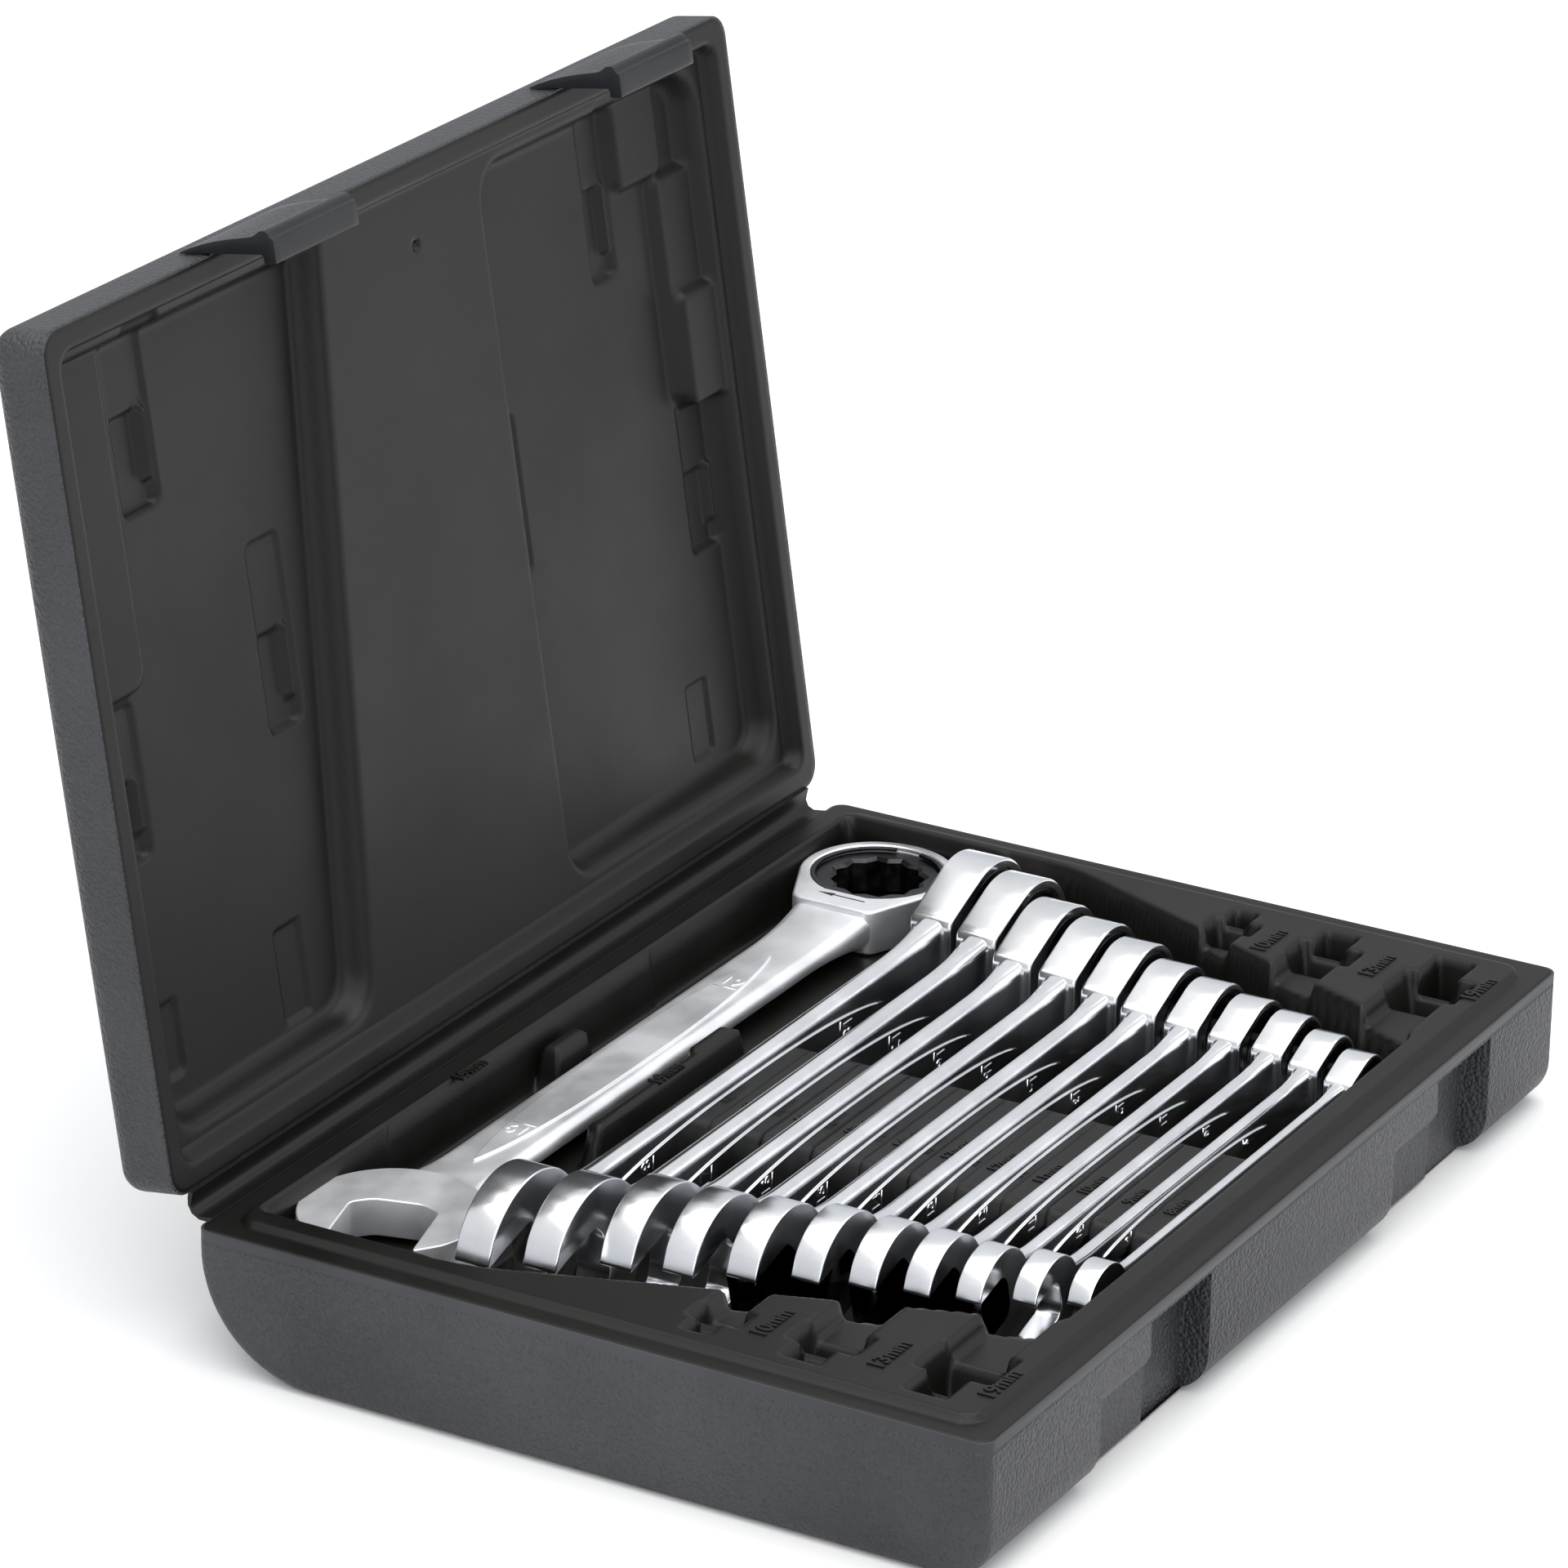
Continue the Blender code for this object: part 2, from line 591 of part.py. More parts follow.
def bore_cutter(name, size):
    """Seat for the gear: a lip below, the gear's room, and a counterbore for the ring."""
    half = ring_thick(size) / 2
    fit = gear_radius(size) + BORE_FIT
    seat = fit - BORE_FIT - 0.6
    counter = fit + 0.35
    step = half - CLIP_THICK - 1.5 * GAP
    profile = [(0, half + 1), (counter, half + 1), (counter, step), (fit, step),
               (fit, LIP_SEAT - half), (seat, LIP_SEAT - half), (seat, -half - 1), (0, -half - 1)]
    return turned(name, profile, RING_SEGMENTS)


def pawl_span(size):
    """Near and far end of the pawl along -X, and its half width and half height."""
    near = gear_radius(size) + BORE_FIT
    far = 1.22 * ring_radius(size) - 1.0 - GAP - PAWL_TRAVEL
    return near, far, 0.27 * gear_radius(size), ring_thick(size) / 2 - 1.9


def make_wrench(size):
    name = f"wrench_{size:02d}"
    radius, thick = ring_radius(size), ring_thick(size)
    body = place(plate(name, [handle_outline(size)], -handle_thick(size) / 2,
                       handle_thick(size) / 2), parts, name, "chrome")
    body.matrix_world = wrench_place(size)
    jaw_x = -(LENGTH[size] - radius - open_radius(size))
    tilt = Matrix.Rotation(math.radians(JAW_TILT_DEG), 4, "Z")
    slot_half = size / 2 + JAW_PLAY
    jaw = box(name + "_jaw", (-2 * open_radius(size), -slot_half, -thick),
              (0.21 * size, slot_half, thick))
    jaw.data.transform(Matrix.Translation((jaw_x * MM, 0, 0)) @ tilt)
    near, far, half_width, half_height = pawl_span(size)
    pocket = box(name + "_pawl_pocket",
                 (-far - GAP - PAWL_TRAVEL, -half_width - GAP, -half_height - GAP),
                 (-near + GAP + 0.5, half_width + GAP, half_height + GAP))
    steps = [
        (disc(name + "_ring", radius, thick, RING_SEGMENTS), "UNION"),
        (disc(name + "_chin", 0.8 * radius, thick, RING_SEGMENTS, (-0.42 * radius, 0, 0)), "UNION"),
        (disc(name + "_open", open_radius(size), open_thick(size), HEAD_SEGMENTS,
              (jaw_x, 0, 0)), "UNION"),
        (jaw, "DIFFERENCE"),
        (bore_cutter(name + "_bore", size), "DIFFERENCE"),
        (pocket, "DIFFERENCE"),
    ]
    for tool, operation in steps:
        place(tool, cutters)
        tool.matrix_world = wrench_place(size)
        combine(body, tool, operation)
    make_ratchet(size, body)


def twelve_point(size):
    """Outline of a double hexagon that fits a nut of this size."""
    outline = []
    for step in range(24):
        angle = math.radians(15 * step)
        radius = size / math.sqrt(3) if step % 2 == 0 else size / 2 / math.cos(math.radians(15))
        outline.append((radius * math.cos(angle), radius * math.sin(angle)))
    return outline


def hang(made, body, node, finish):
    place(made, parts, node, finish)
    made.parent = body


def make_ratchet(size, body):
    """Gear, pawl and retaining ring in the ring head."""
    half = ring_thick(size) / 2
    radius = gear_radius(size)
    circle = arc((0, 0), radius, 0, 360, RING_SEGMENTS)[:-1]
    gear_top = half - CLIP_THICK - 1.5 * GAP
    gear = plate(f"ratchet_gear_{size:02d}", [circle, twelve_point(size)],
                 LIP_SEAT - half + GAP, gear_top)
    hang(gear, body, gear.name, "dark_steel")
    near, far, half_width, half_height = pawl_span(size)
    pawl = box(f"pawl_{size:02d}", (-far, -half_width, -half_height),
               (-near, half_width, half_height))
    hang(pawl, body, pawl.name, "dark_steel")
    slot = CLIP_SLOT_DEG / 2
    outer = arc((0, 0), radius + 0.35, slot, 360 - slot, 18)
    inner = arc((0, 0), radius - 0.6, 360 - slot, slot, 18)
    ring = plate(f"retaining_ring_{size:02d}", [outer + inner], half - CLIP_THICK - GAP / 2,
                 half - GAP / 2)
    hang(ring, body, ring.name, "spring_steel")


# ---- assembly ------------------------------------------------------------------------------
clear_scene()
parts = collection("wrench_set_in_case")
cutters = collection("cutters")

make_base_shell()
make_base_tray()
make_base_leaf()

lid_pivot = bpy.data.objects.new("lid_pivot", None)
parts.objects.link(lid_pivot)
lid_pivot.location = Vector(PIVOT) * MM
lid_pivot.rotation_euler = (-math.radians(LID_OPEN_DEG), 0, 0)
make_lid(lid_pivot)
for latch in LATCH_X:
    make_latch(latch, lid_pivot)

for wrench in [FLAT] + STANDING:
    make_wrench(wrench)
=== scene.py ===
import json
import math

import bmesh
import bpy
import numpy as np
from mathutils import Matrix, Vector


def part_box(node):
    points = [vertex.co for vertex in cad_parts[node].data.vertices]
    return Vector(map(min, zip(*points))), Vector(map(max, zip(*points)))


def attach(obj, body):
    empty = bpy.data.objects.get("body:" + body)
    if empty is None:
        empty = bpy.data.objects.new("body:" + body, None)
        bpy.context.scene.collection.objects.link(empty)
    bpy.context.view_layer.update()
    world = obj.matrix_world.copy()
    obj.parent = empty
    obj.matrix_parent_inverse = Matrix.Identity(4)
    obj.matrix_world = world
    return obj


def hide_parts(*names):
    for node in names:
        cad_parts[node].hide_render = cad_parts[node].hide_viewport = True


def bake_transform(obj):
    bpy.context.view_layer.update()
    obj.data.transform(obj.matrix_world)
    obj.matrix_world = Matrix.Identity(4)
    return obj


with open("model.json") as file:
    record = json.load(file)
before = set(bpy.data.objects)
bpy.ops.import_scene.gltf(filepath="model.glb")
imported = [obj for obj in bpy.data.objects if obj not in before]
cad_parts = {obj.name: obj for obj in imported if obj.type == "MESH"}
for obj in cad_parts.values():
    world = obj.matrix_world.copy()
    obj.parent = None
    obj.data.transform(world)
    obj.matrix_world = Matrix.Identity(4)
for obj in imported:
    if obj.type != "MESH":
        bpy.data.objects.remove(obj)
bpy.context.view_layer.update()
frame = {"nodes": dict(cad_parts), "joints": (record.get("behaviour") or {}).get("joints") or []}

MM = 0.001

# ---- sizes read from the frame, in millimetres ---------------------------------------------


def node_box(node):
    low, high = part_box(node)
    return Vector(low) / MM, Vector(high) / MM


def joint_spot(name):
    for joint in frame["joints"]:
        if joint["name"] == name:
            return Vector(joint["pos_m"]) / MM
    raise KeyError(name)


SIZES = range(8, 20)
FLAT = 19
FIRST_ROW, LAST_ROW = 18, 8
PIVOT = joint_spot("lid_hinge")
HALF_W, HALF_D, BASE_TOP = node_box("base_shell")[1]
LIP_TOP = node_box("base_tray")[1].z
LID_OPEN = math.radians(98.8)
LID_GAP, LID_HEIGHT = 0.3, 14.5
LID_RIM = BASE_TOP + LID_GAP
LID_TOP = LID_RIM + LID_HEIGHT
WALL = 1.8
SHOULDER = 5.5
LIP_X, LIP_Y = HALF_W - SHOULDER, HALF_D - SHOULDER
REAR_RADIUS, FRONT_RADIUS, LID_RADIUS = 27.0, 10.0, 5.0
CORNER, LID_CORNER = 3.2, 5.6
LATCHES = {"left": -60.0, "right": 77.0}
LATCH_WIDTH, LATCH_REACH = 31.0, 17.0
RECESS_LEFT, RECESS_RIGHT, RECESS_DEEP = 11.0, 6.5, 5.0
FINGER_WIDE, FINGER_DEEP = 19.0, 6.8
OPEN_LID = (Matrix.Translation(PIVOT) @ Matrix.Rotation(-LID_OPEN, 4, "X")
            @ Matrix.Translation(-PIVOT))

# ---- meshes --------------------------------------------------------------------------------


def link(name, mesh, material):
    piece = bpy.data.objects.new(name, mesh)
    bpy.context.scene.collection.objects.link(piece)
    if material:
        mesh.materials.append(material)
    return piece


def mesh_piece(name, points, faces, material, move=None, flat_faces=()):
    """A piece from points in millimetres; faces listed in flat_faces aren't smoothed."""
    points = np.asarray(points, dtype=float)
    if move is not None:
        turn = np.array(move)
        points = points @ turn[:3, :3].T + turn[:3, 3]
    mesh = bpy.data.meshes.new(name)
    mesh.from_pydata((points * MM).tolist(), [], faces)
    smooth = [index not in flat_faces for index in range(len(faces))]
    mesh.polygons.foreach_set("use_smooth", smooth)
    mesh.update()
    return link(name, mesh, material)


def applied(piece):
    """The piece with its modifiers made part of its mesh."""
    graph = bpy.context.evaluated_depsgraph_get()
    mesh = bpy.data.meshes.new_from_object(piece.evaluated_get(graph))
    piece.modifiers.clear()
    old = piece.data
    piece.data = mesh
    bpy.data.meshes.remove(old)
    return piece


def soften(piece, width, segments=3, angle=32, smooth_angle=38):
    """Round the sharp edges, and keep the shading sharp only where the solid still is."""
    bevel = piece.modifiers.new("edges", "BEVEL")
    bevel.width = width * MM
    bevel.segments = segments
    bevel.limit_method = "ANGLE"
    bevel.angle_limit = math.radians(angle)
    bevel.harden_normals = False
    applied(piece)
    shade_by_angle(piece, smooth_angle)
    return piece


def shade_by_angle(piece, degrees):
    shape = bmesh.new()
    shape.from_mesh(piece.data)
    for face in shape.faces:
        face.smooth = True
    for edge in shape.edges:
        edge.smooth = len(edge.link_faces) == 2 and edge.calc_face_angle(0) < math.radians(degrees)
    shape.to_mesh(piece.data)
    shape.free()


def cut_away(piece, tool):
    step = piece.modifiers.new("cut", "BOOLEAN")
    step.operation = "DIFFERENCE"
    step.solver = "EXACT"
    step.object = tool
    applied(piece)
    mesh = tool.data
    bpy.data.objects.remove(tool)
    bpy.data.meshes.remove(mesh)
    return piece


def block(low, high, name="block"):
    xs, ys, zs = zip(low, high)
    points = [(x, y, z) for x in xs for y in ys for z in zs]
    faces = [(0, 1, 3, 2), (4, 6, 7, 5), (0, 4, 5, 1), (2, 3, 7, 6), (0, 2, 6, 4), (1, 5, 7, 3)]
    return mesh_piece(name, points, faces, None)


def arc(centre, radius, start, end, steps):
    turn = np.radians(np.linspace(start, end, steps + 1))
    return [(centre[0] + radius * math.cos(a), centre[1] + radius * math.sin(a)) for a in turn]


def rounded_rectangle(half_x, half_y, radius, steps=6):
    outline = []
    for sx, sy, start in ((1, -1, 270), (1, 1, 0), (-1, 1, 90), (-1, -1, 180)):
        outline += arc((sx * (half_x - radius), sy * (half_y - radius)), radius,
                       start, start + 90, steps)
    return outline


def prism(outline, low, high, name="prism"):
    """A straight prism over an anticlockwise outline."""
    count = len(outline)
    points = [(x, y, low) for x, y in outline] + [(x, y, high) for x, y in outline]
    sides = [(i, (i + 1) % count, count + (i + 1) % count, count + i) for i in range(count)]
    faces = sides + [tuple(reversed(range(count))), tuple(range(count, 2 * count))]
    return mesh_piece(name, points, faces, None)


def side_prism(section, low, high, name):
    """A prism along X over a section given as (y, z)."""
    piece = prism(section, low, high, name)
    piece.data.transform(Matrix(((0, 0, 1, 0), (1, 0, 0, 0), (0, 1, 0, 0), (0, 0, 0, 1))))
    return piece


def round_corners(outline, radius, steps=4, sharp=20):
    """Replace each corner that turns by more than sharp degrees with a short curve."""
    result = []
    count = len(outline)
    for i, corner in enumerate(outline):
        before = Vector(outline[i - 1]) - Vector(corner)
        after = Vector(outline[(i + 1) % count]) - Vector(corner)
        if math.degrees(math.pi - before.angle(after, math.pi)) < sharp:
            result.append(tuple(corner))
            continue
        cut_in = min(radius, before.length * 0.48)
        cut_out = min(radius, after.length * 0.48)
        a = Vector(corner) + before.normalized() * cut_in
        b = Vector(corner) + after.normalized() * cut_out
        for t in np.linspace(0, 1, steps + 1):
            spot = a * (1 - t) ** 2 + Vector(corner) * 2 * t * (1 - t) + b * t ** 2
            result.append(tuple(spot))
    return result


def anticlockwise(outline):
    area = sum(a[0] * b[1] - b[0] * a[1] for a, b in zip(outline, outline[1:] + outline[:1]))
    return outline[::-1] if area < 0 else outline


def outline_normals(outline):
    points = np.asarray(outline, dtype=float)
    along = np.roll(points, -1, axis=0) - np.roll(points, 1, axis=0)
    normals = np.stack([along[:, 1], -along[:, 0]], 1)
    return normals / np.maximum(np.linalg.norm(normals, axis=1, keepdims=True), 1e-9)


def rounded_plate(name, outline, low, high, fillet, material, move=None, steps=4, under=True):
    """A plate with rounded upper edges, and rounded lower edges when both sides are seen."""
    points = np.asarray(outline, dtype=float)
    normals = outline_normals(outline)
    rows = []
    angles = np.radians(np.linspace(0, 90, steps + 1))
    if under:
        rows += [(fillet * (1 - math.sin(a)), low + fillet * (1 - math.cos(a))) for a in angles]
    else:
        rows += [(0.0, low)]
    rows += [(fillet * (1 - math.sin(a)), high - fillet * (1 - math.cos(a)))
             for a in reversed(angles)]
    rings = [np.column_stack([points - normals * inset, np.full(len(points), z)])
             for inset, z in rows]
    return stacked(name, rings, material, move)


def stacked(name, rings, material, move=None):
    """A closed skin over a stack of rings, with flat ends."""
    count = len(rings[0])
    faces = []
    for row in range(len(rings) - 1):
        a, b = row * count, (row + 1) * count
        faces += [(a + i, a + (i + 1) % count, b + (i + 1) % count, b + i) for i in range(count)]
    ends = {len(faces), len(faces) + 1}
    last = (len(rings) - 1) * count
    faces += [tuple(reversed(range(count))), tuple(range(last, last + count))]
    return mesh_piece(name, np.concatenate(rings), faces, material, move, ends)


def ring_loft(name, rings, material, move=None):
    """A skin that closes on itself both ways, such as a ring's."""
    count = len(rings[0])
    rows = len(rings)
    faces = []
    for row in range(rows):
        a, b = row * count, (row + 1) % rows * count
        faces += [(a + i, a + (i + 1) % count, b + (i + 1) % count, b + i) for i in range(count)]
    piece = mesh_piece(name, np.concatenate(rings), faces, material, move)
    shade_by_angle(piece, 34)
    return piece


def joined(name, pieces):
    """Several pieces as one."""
    shape = bmesh.new()
    materials = []
    for piece in pieces:
        start = len(shape.faces)
        shape.from_mesh(piece.data)
        shape.faces.ensure_lookup_table()
        for face in shape.faces[start:]:
            material = piece.data.materials[0]
            if material not in materials:
                materials.append(material)
            face.material_index = materials.index(material)
    mesh = bpy.data.meshes.new(name)
    shape.to_mesh(mesh)
    shape.free()
    for piece in pieces:
        old = piece.data
        bpy.data.objects.remove(piece)
        bpy.data.meshes.remove(old)
    whole = link(name, mesh, None)
    for material in materials:
        mesh.materials.append(material)
    return whole


def raised_words(name, words, size, height, material, move, weight):
    """Raised figures whose middle lies at the start of move, reading along its x."""
    curve = bpy.data.curves.new(name, "FONT")
    curve.body = words
    curve.size = size * MM
    curve.align_x = "CENTER"
    curve.align_y = "CENTER"
    curve.extrude = height / 2 * MM
    curve.bevel_depth = height * 0.25 * MM
    curve.bevel_resolution = 1
    curve.offset = weight * MM
    curve.resolution_u = 3
    holder = bpy.data.objects.new(name, curve)
    bpy.context.scene.collection.objects.link(holder)
    graph = bpy.context.evaluated_depsgraph_get()
    graph.update()
    mesh = bpy.data.meshes.new_from_object(holder.evaluated_get(graph))
    bpy.data.objects.remove(holder)
    bpy.data.curves.remove(curve)
    mesh.transform(Matrix.Scale(MM, 4) @ move @ Matrix.Scale(1 / MM, 4))
    mesh.materials.clear()
    piece = link(name, mesh, material)
    shade_by_angle(piece, 30)
    return piece


# ---- moulded surfaces: heights over a plan ---------------------------------------------------


def grid_lines(low, high, coarse, fine, spots):
    """Lines across the plan, close together over each spot."""
    lines = [low]
    while lines[-1] < high:
        here = lines[-1]
        near = any(a <= here <= b for a, b in spots)
        lines.append(here + (fine if near else coarse))
    lines[-1] = high
    return np.array(lines)


def slope_share(depth, radius, draft):
    """How the share of a wall's depth grows with the distance in from its edge."""
    lean = math.radians(90 - draft)
    reach = 2 * (1 - math.cos(lean)) * radius
    if depth < reach:
        radius *= depth / reach
        reach = depth
    turn = np.linspace(0, lean, 7)
    across = radius * np.sin(turn)
    down = radius * (1 - np.cos(turn))
    straight = (depth - reach) / math.sin(lean)
    width = 2 * across[-1] + straight * math.cos(lean)
    distance = np.concatenate([across, width - across[::-1]])
    share = np.concatenate([down, depth - down[::-1]]) / depth
    return distance, share


def carve(z, inside, floor, nominal, radius, draft):
    """Sink to a floor; the wall is shaped for a nominal depth, its radius and its draft angle."""
    distance, share = slope_share(nominal, radius, draft)
    part = np.interp(inside, distance, share)
    return np.where(z > floor, z + (floor - z) * part, z)


def build_up(z, inside, top, nominal, radius, draft):
    """Raise to a top, with the wall shaped as in carve."""
    distance, share = slope_share(nominal, radius, draft)
    part = np.interp(inside, distance, share)
    return np.where(z < top, z + (top - z) * part, z)


def in_box(x, y, x0, x1, y0, y1, radius):
    """Distance inside a rounded rectangle."""
    cx, cy = (x0 + x1) / 2, (y0 + y1) / 2
    radius = min(radius, (x1 - x0) / 2 - 0.01, (y1 - y0) / 2 - 0.01)
    qx = np.abs(x - cx) - ((x1 - x0) / 2 - radius)
    qy = np.abs(y - cy) - ((y1 - y0) / 2 - radius)
    outside = np.hypot(np.maximum(qx, 0), np.maximum(qy, 0))
    return radius - outside - np.minimum(np.maximum(qx, qy), 0)


def in_outline(x, y, outline, blend=3.0):
    """Distance inside a convex anticlockwise outline, with its corners eased."""
    inside = None
    count = len(outline)
    for i, (ax, ay) in enumerate(outline):
        bx, by = outline[(i + 1) % count]
        length = math.hypot(bx - ax, by - ay)
        edge = ((bx - ax) * (y - ay) - (by - ay) * (x - ax)) / length
        if inside is None:
            inside = edge
            continue
        mix = np.maximum(blend - np.abs(inside - edge), 0) / blend
        inside = np.minimum(inside, edge) - mix * mix * blend / 4
    return inside


def in_round(x, y, cx, cy, radius):
    return radius - np.hypot(x - cx, y - cy)


def rounded_grid(xs, ys, radius):
    """A plan grid whose four corners are drawn in to quarter circles."""
    x, y = np.meshgrid(xs, ys)
    past_x = x - np.clip(x, xs[0] + radius, xs[-1] - radius)
    past_y = y - np.clip(y, ys[0] + radius, ys[-1] - radius)
    far = np.hypot(past_x, past_y)
    near = np.maximum(np.abs(past_x), np.abs(past_y))
    draw = 1 - near / np.maximum(far, 1e-9)
    return x - past_x * draw, y - past_y * draw


def moulded_skin(name, x, y, z, material, skirt, move=None):
    """A skin over a plan grid with a turned-down border."""
    rows, cols = z.shape
    points = np.column_stack([x.ravel(), y.ravel(), z.ravel()])
    index = np.arange(rows * cols).reshape(rows, cols)
    quads = np.stack([index[:-1, :-1], index[:-1, 1:], index[1:, 1:], index[1:, :-1]], -1)
    faces = quads.reshape(-1, 4).tolist()
    border = (index[0, :].tolist() + index[1:, -1].tolist() + index[-1, -2::-1].tolist()
              + index[-2:0:-1, 0].tolist())
    count = len(border)
    start = len(points)
    fall = points[border].copy()
    fall[:, 2] -= skirt
    points = np.concatenate([points, fall])
    faces += [(border[(i + 1) % count], border[i], start + i, start + (i + 1) % count)
              for i in range(count)]
    return mesh_piece(name, points, faces, material, move)


# ---- finishes ------------------------------------------------------------------------------


def shader_group(name, inputs, outputs):
    """A node group with its sockets; inputs are (name, type, value), outputs (name, type)."""
    group = bpy.data.node_groups.new(name, "ShaderNodeTree")
    for label, kind, value in inputs:
        socket = group.interface.new_socket(label, in_out="INPUT", socket_type=kind)
        if value is not None:
            socket.default_value = value
    for label, kind in outputs:
        group.interface.new_socket(label, in_out="OUTPUT", socket_type=kind)
    return group, group.nodes.new("NodeGroupInput"), group.nodes.new("NodeGroupOutput")


def node(tree, kind, sockets=None, **values):
    """A node with its settings, and the values of the sockets that nothing feeds."""
    made = tree.nodes.new("ShaderNode" + kind)
    for key, value in values.items():
        setattr(made, key, value)
    for socket, value in (sockets or {}).items():
        made.inputs[socket].default_value = value
    return made


def wire(tree, *pairs):
    for source, target in pairs:
        tree.links.new(source, target)


def pebble_group():
    """Leathery grain pressed into plastic: rounded pebbles with fine tooth on top."""
    group, start, end = shader_group(
        "pebble grain", [("Place", "NodeSocketVector", None), ("Scale", "NodeSocketFloat", 900.0)],
        [("Height", "NodeSocketFloat")])
    cells = node(group, "TexVoronoi", {"Smoothness": 0.6}, feature="SMOOTH_F1")
    tooth = node(group, "TexNoise", {"Scale": 1600.0, "Detail": 3.0})
    flip = node(group, "Math", {1: -1.0, 2: 1.0}, operation="MULTIPLY_ADD")
    mix = node(group, "Math", {1: 0.45}, operation="MULTIPLY_ADD")
    wire(group, (start.outputs["Place"], cells.inputs["Vector"]),
         (start.outputs["Scale"], cells.inputs["Scale"]),
         (start.outputs["Place"], tooth.inputs["Vector"]),
         (cells.outputs["Distance"], flip.inputs[0]), (tooth.outputs["Fac"], mix.inputs[0]),
         (flip.outputs[0], mix.inputs[2]), (mix.outputs[0], end.inputs["Height"]))
    return group


def patchy_group():
    """Slow, cloudy change over a surface, as handling and moulding leave it."""
    group, start, end = shader_group(
        "cloudy change", [("Place", "NodeSocketVector", None), ("Scale", "NodeSocketFloat", 25.0)],
        [("Amount", "NodeSocketFloat")])
    cloud = node(group, "TexNoise", {"Detail": 5.0, "Roughness": 0.6})
    spread = node(group, "MapRange", {"From Min": 0.35, "From Max": 0.65})
    wire(group, (start.outputs["Place"], cloud.inputs["Vector"]),
         (start.outputs["Scale"], cloud.inputs["Scale"]),
         (cloud.outputs["Fac"], spread.inputs["Value"]),
         (spread.outputs["Result"], end.inputs["Amount"]))
    return group


PEBBLES = pebble_group()
CLOUDS = patchy_group()


def finish(name, dark, light, rough, metallic=0.0, cloud_scale=25.0):
    """A material whose colour and roughness drift between two values."""
    material = bpy.data.materials.new(name)
    material.use_nodes = True
    tree = material.node_tree
    surface = tree.nodes["Principled BSDF"]
    surface.inputs["Metallic"].default_value = metallic
    place = node(tree, "TexCoord")
    clouds = node(tree, "Group", node_tree=CLOUDS)
    clouds.inputs["Scale"].default_value = cloud_scale
    colour = node(tree, "Mix", data_type="RGBA")
    for socket in colour.inputs:
        if socket.type == "RGBA":
            socket.default_value = (*(dark if socket.name == "A" else light), 1)
    result = [o for o in colour.outputs if o.type == "RGBA"][0]
    gloss = node(tree, "MapRange", {"To Min": rough[0], "To Max": rough[1]})
    wire(tree, (place.outputs["Object"], clouds.inputs["Place"]),
         (clouds.outputs["Amount"], colour.inputs[0]), (result, surface.inputs["Base Color"]),
         (clouds.outputs["Amount"], gloss.inputs["Value"]),
         (gloss.outputs["Result"], surface.inputs["Roughness"]))
    return material, place, surface


def bumped(tree, surface, height, depth, strength):
    """Feed the surface's normal from a height, in millimetres at its deepest."""
    bump = node(tree, "Bump", {"Strength": strength, "Distance": depth * MM})
    wire(tree, (height, bump.inputs["Height"]), (bump.outputs["Normal"], surface.inputs["Normal"]))


def with_grain(name, dark, light, rough, scale, depth, strength, smooth_above=None):
    """Plastic with pebble grain; smooth_above leaves the surface plain over that height."""
    material, place, surface = finish(name, dark, light, rough, cloud_scale=18.0)
    tree = material.node_tree
    grain = node(tree, "Group", node_tree=PEBBLES)
    grain.inputs["Scale"].default_value = scale
    tree.links.new(place.outputs["Object"], grain.inputs["Place"])
    height = grain.outputs["Height"]
    if smooth_above is not None:
        split = node(tree, "SeparateXYZ")
        below = node(tree, "MapRange", {"From Min": smooth_above * MM,
                                        "From Max": (smooth_above - 0.8) * MM})
        held = node(tree, "Math", operation="MULTIPLY")
        wire(tree, (place.outputs["Object"], split.inputs[0]),
             (split.outputs["Z"], below.inputs["Value"]),
             (below.outputs["Result"], held.inputs[0]), (height, held.inputs[1]))
        height = held.outputs[0]
    bumped(tree, surface, height, depth, strength)
    return material


def waved(material, place, surface, scale, depth, strength):
    """Slow waves in the surface, as forging and polishing leave them."""
    tree = material.node_tree
    wave = node(tree, "TexNoise", {"Scale": scale, "Detail": 2.0})
    tree.links.new(place.outputs["Object"], wave.inputs["Vector"])
    bumped(tree, surface, wave.outputs["Fac"], depth, strength)
    return material


CASE_GRAIN = ((0.030, 0.0310, 0.0338), (0.047, 0.0484, 0.0525), (0.34, 0.48), 1150.0, 0.6, 1.0)
GRAINED = with_grain("grained_case_plastic", *CASE_GRAIN, smooth_above=BASE_TOP - 2.4)
GRAINED_LID = with_grain("grained_lid_plastic", *CASE_GRAIN)
GRIP = with_grain("latch_grip_grain", (0.022, 0.023, 0.026), (0.034, 0.035, 0.040),
                  (0.35, 0.5), 1000.0, 0.5, 0.9)
SMOOTH_EDGE = with_grain("smooth_latch_plastic", (0.010, 0.0105, 0.012), (0.016, 0.0165, 0.019),
                         (0.3, 0.4), 2600.0, 0.04, 0.2)
SATIN = with_grain("satin_tray_plastic", (0.0030, 0.0027, 0.0023), (0.0052, 0.0047, 0.0040),
                   (0.36, 0.5), 2600.0, 0.05, 0.22)
CHROME = waved(*finish("polished_chrome", (0.78, 0.79, 0.81), (0.88, 0.89, 0.91), (0.16, 0.24),
                       metallic=1.0, cloud_scale=60.0), 140.0, 0.05, 0.25)
SATIN_CHROME = waved(*finish("satin_chrome", (0.80, 0.81, 0.83), (0.90, 0.91, 0.93),
                             (0.44, 0.54), metallic=1.0, cloud_scale=50.0), 140.0, 0.05, 0.25)
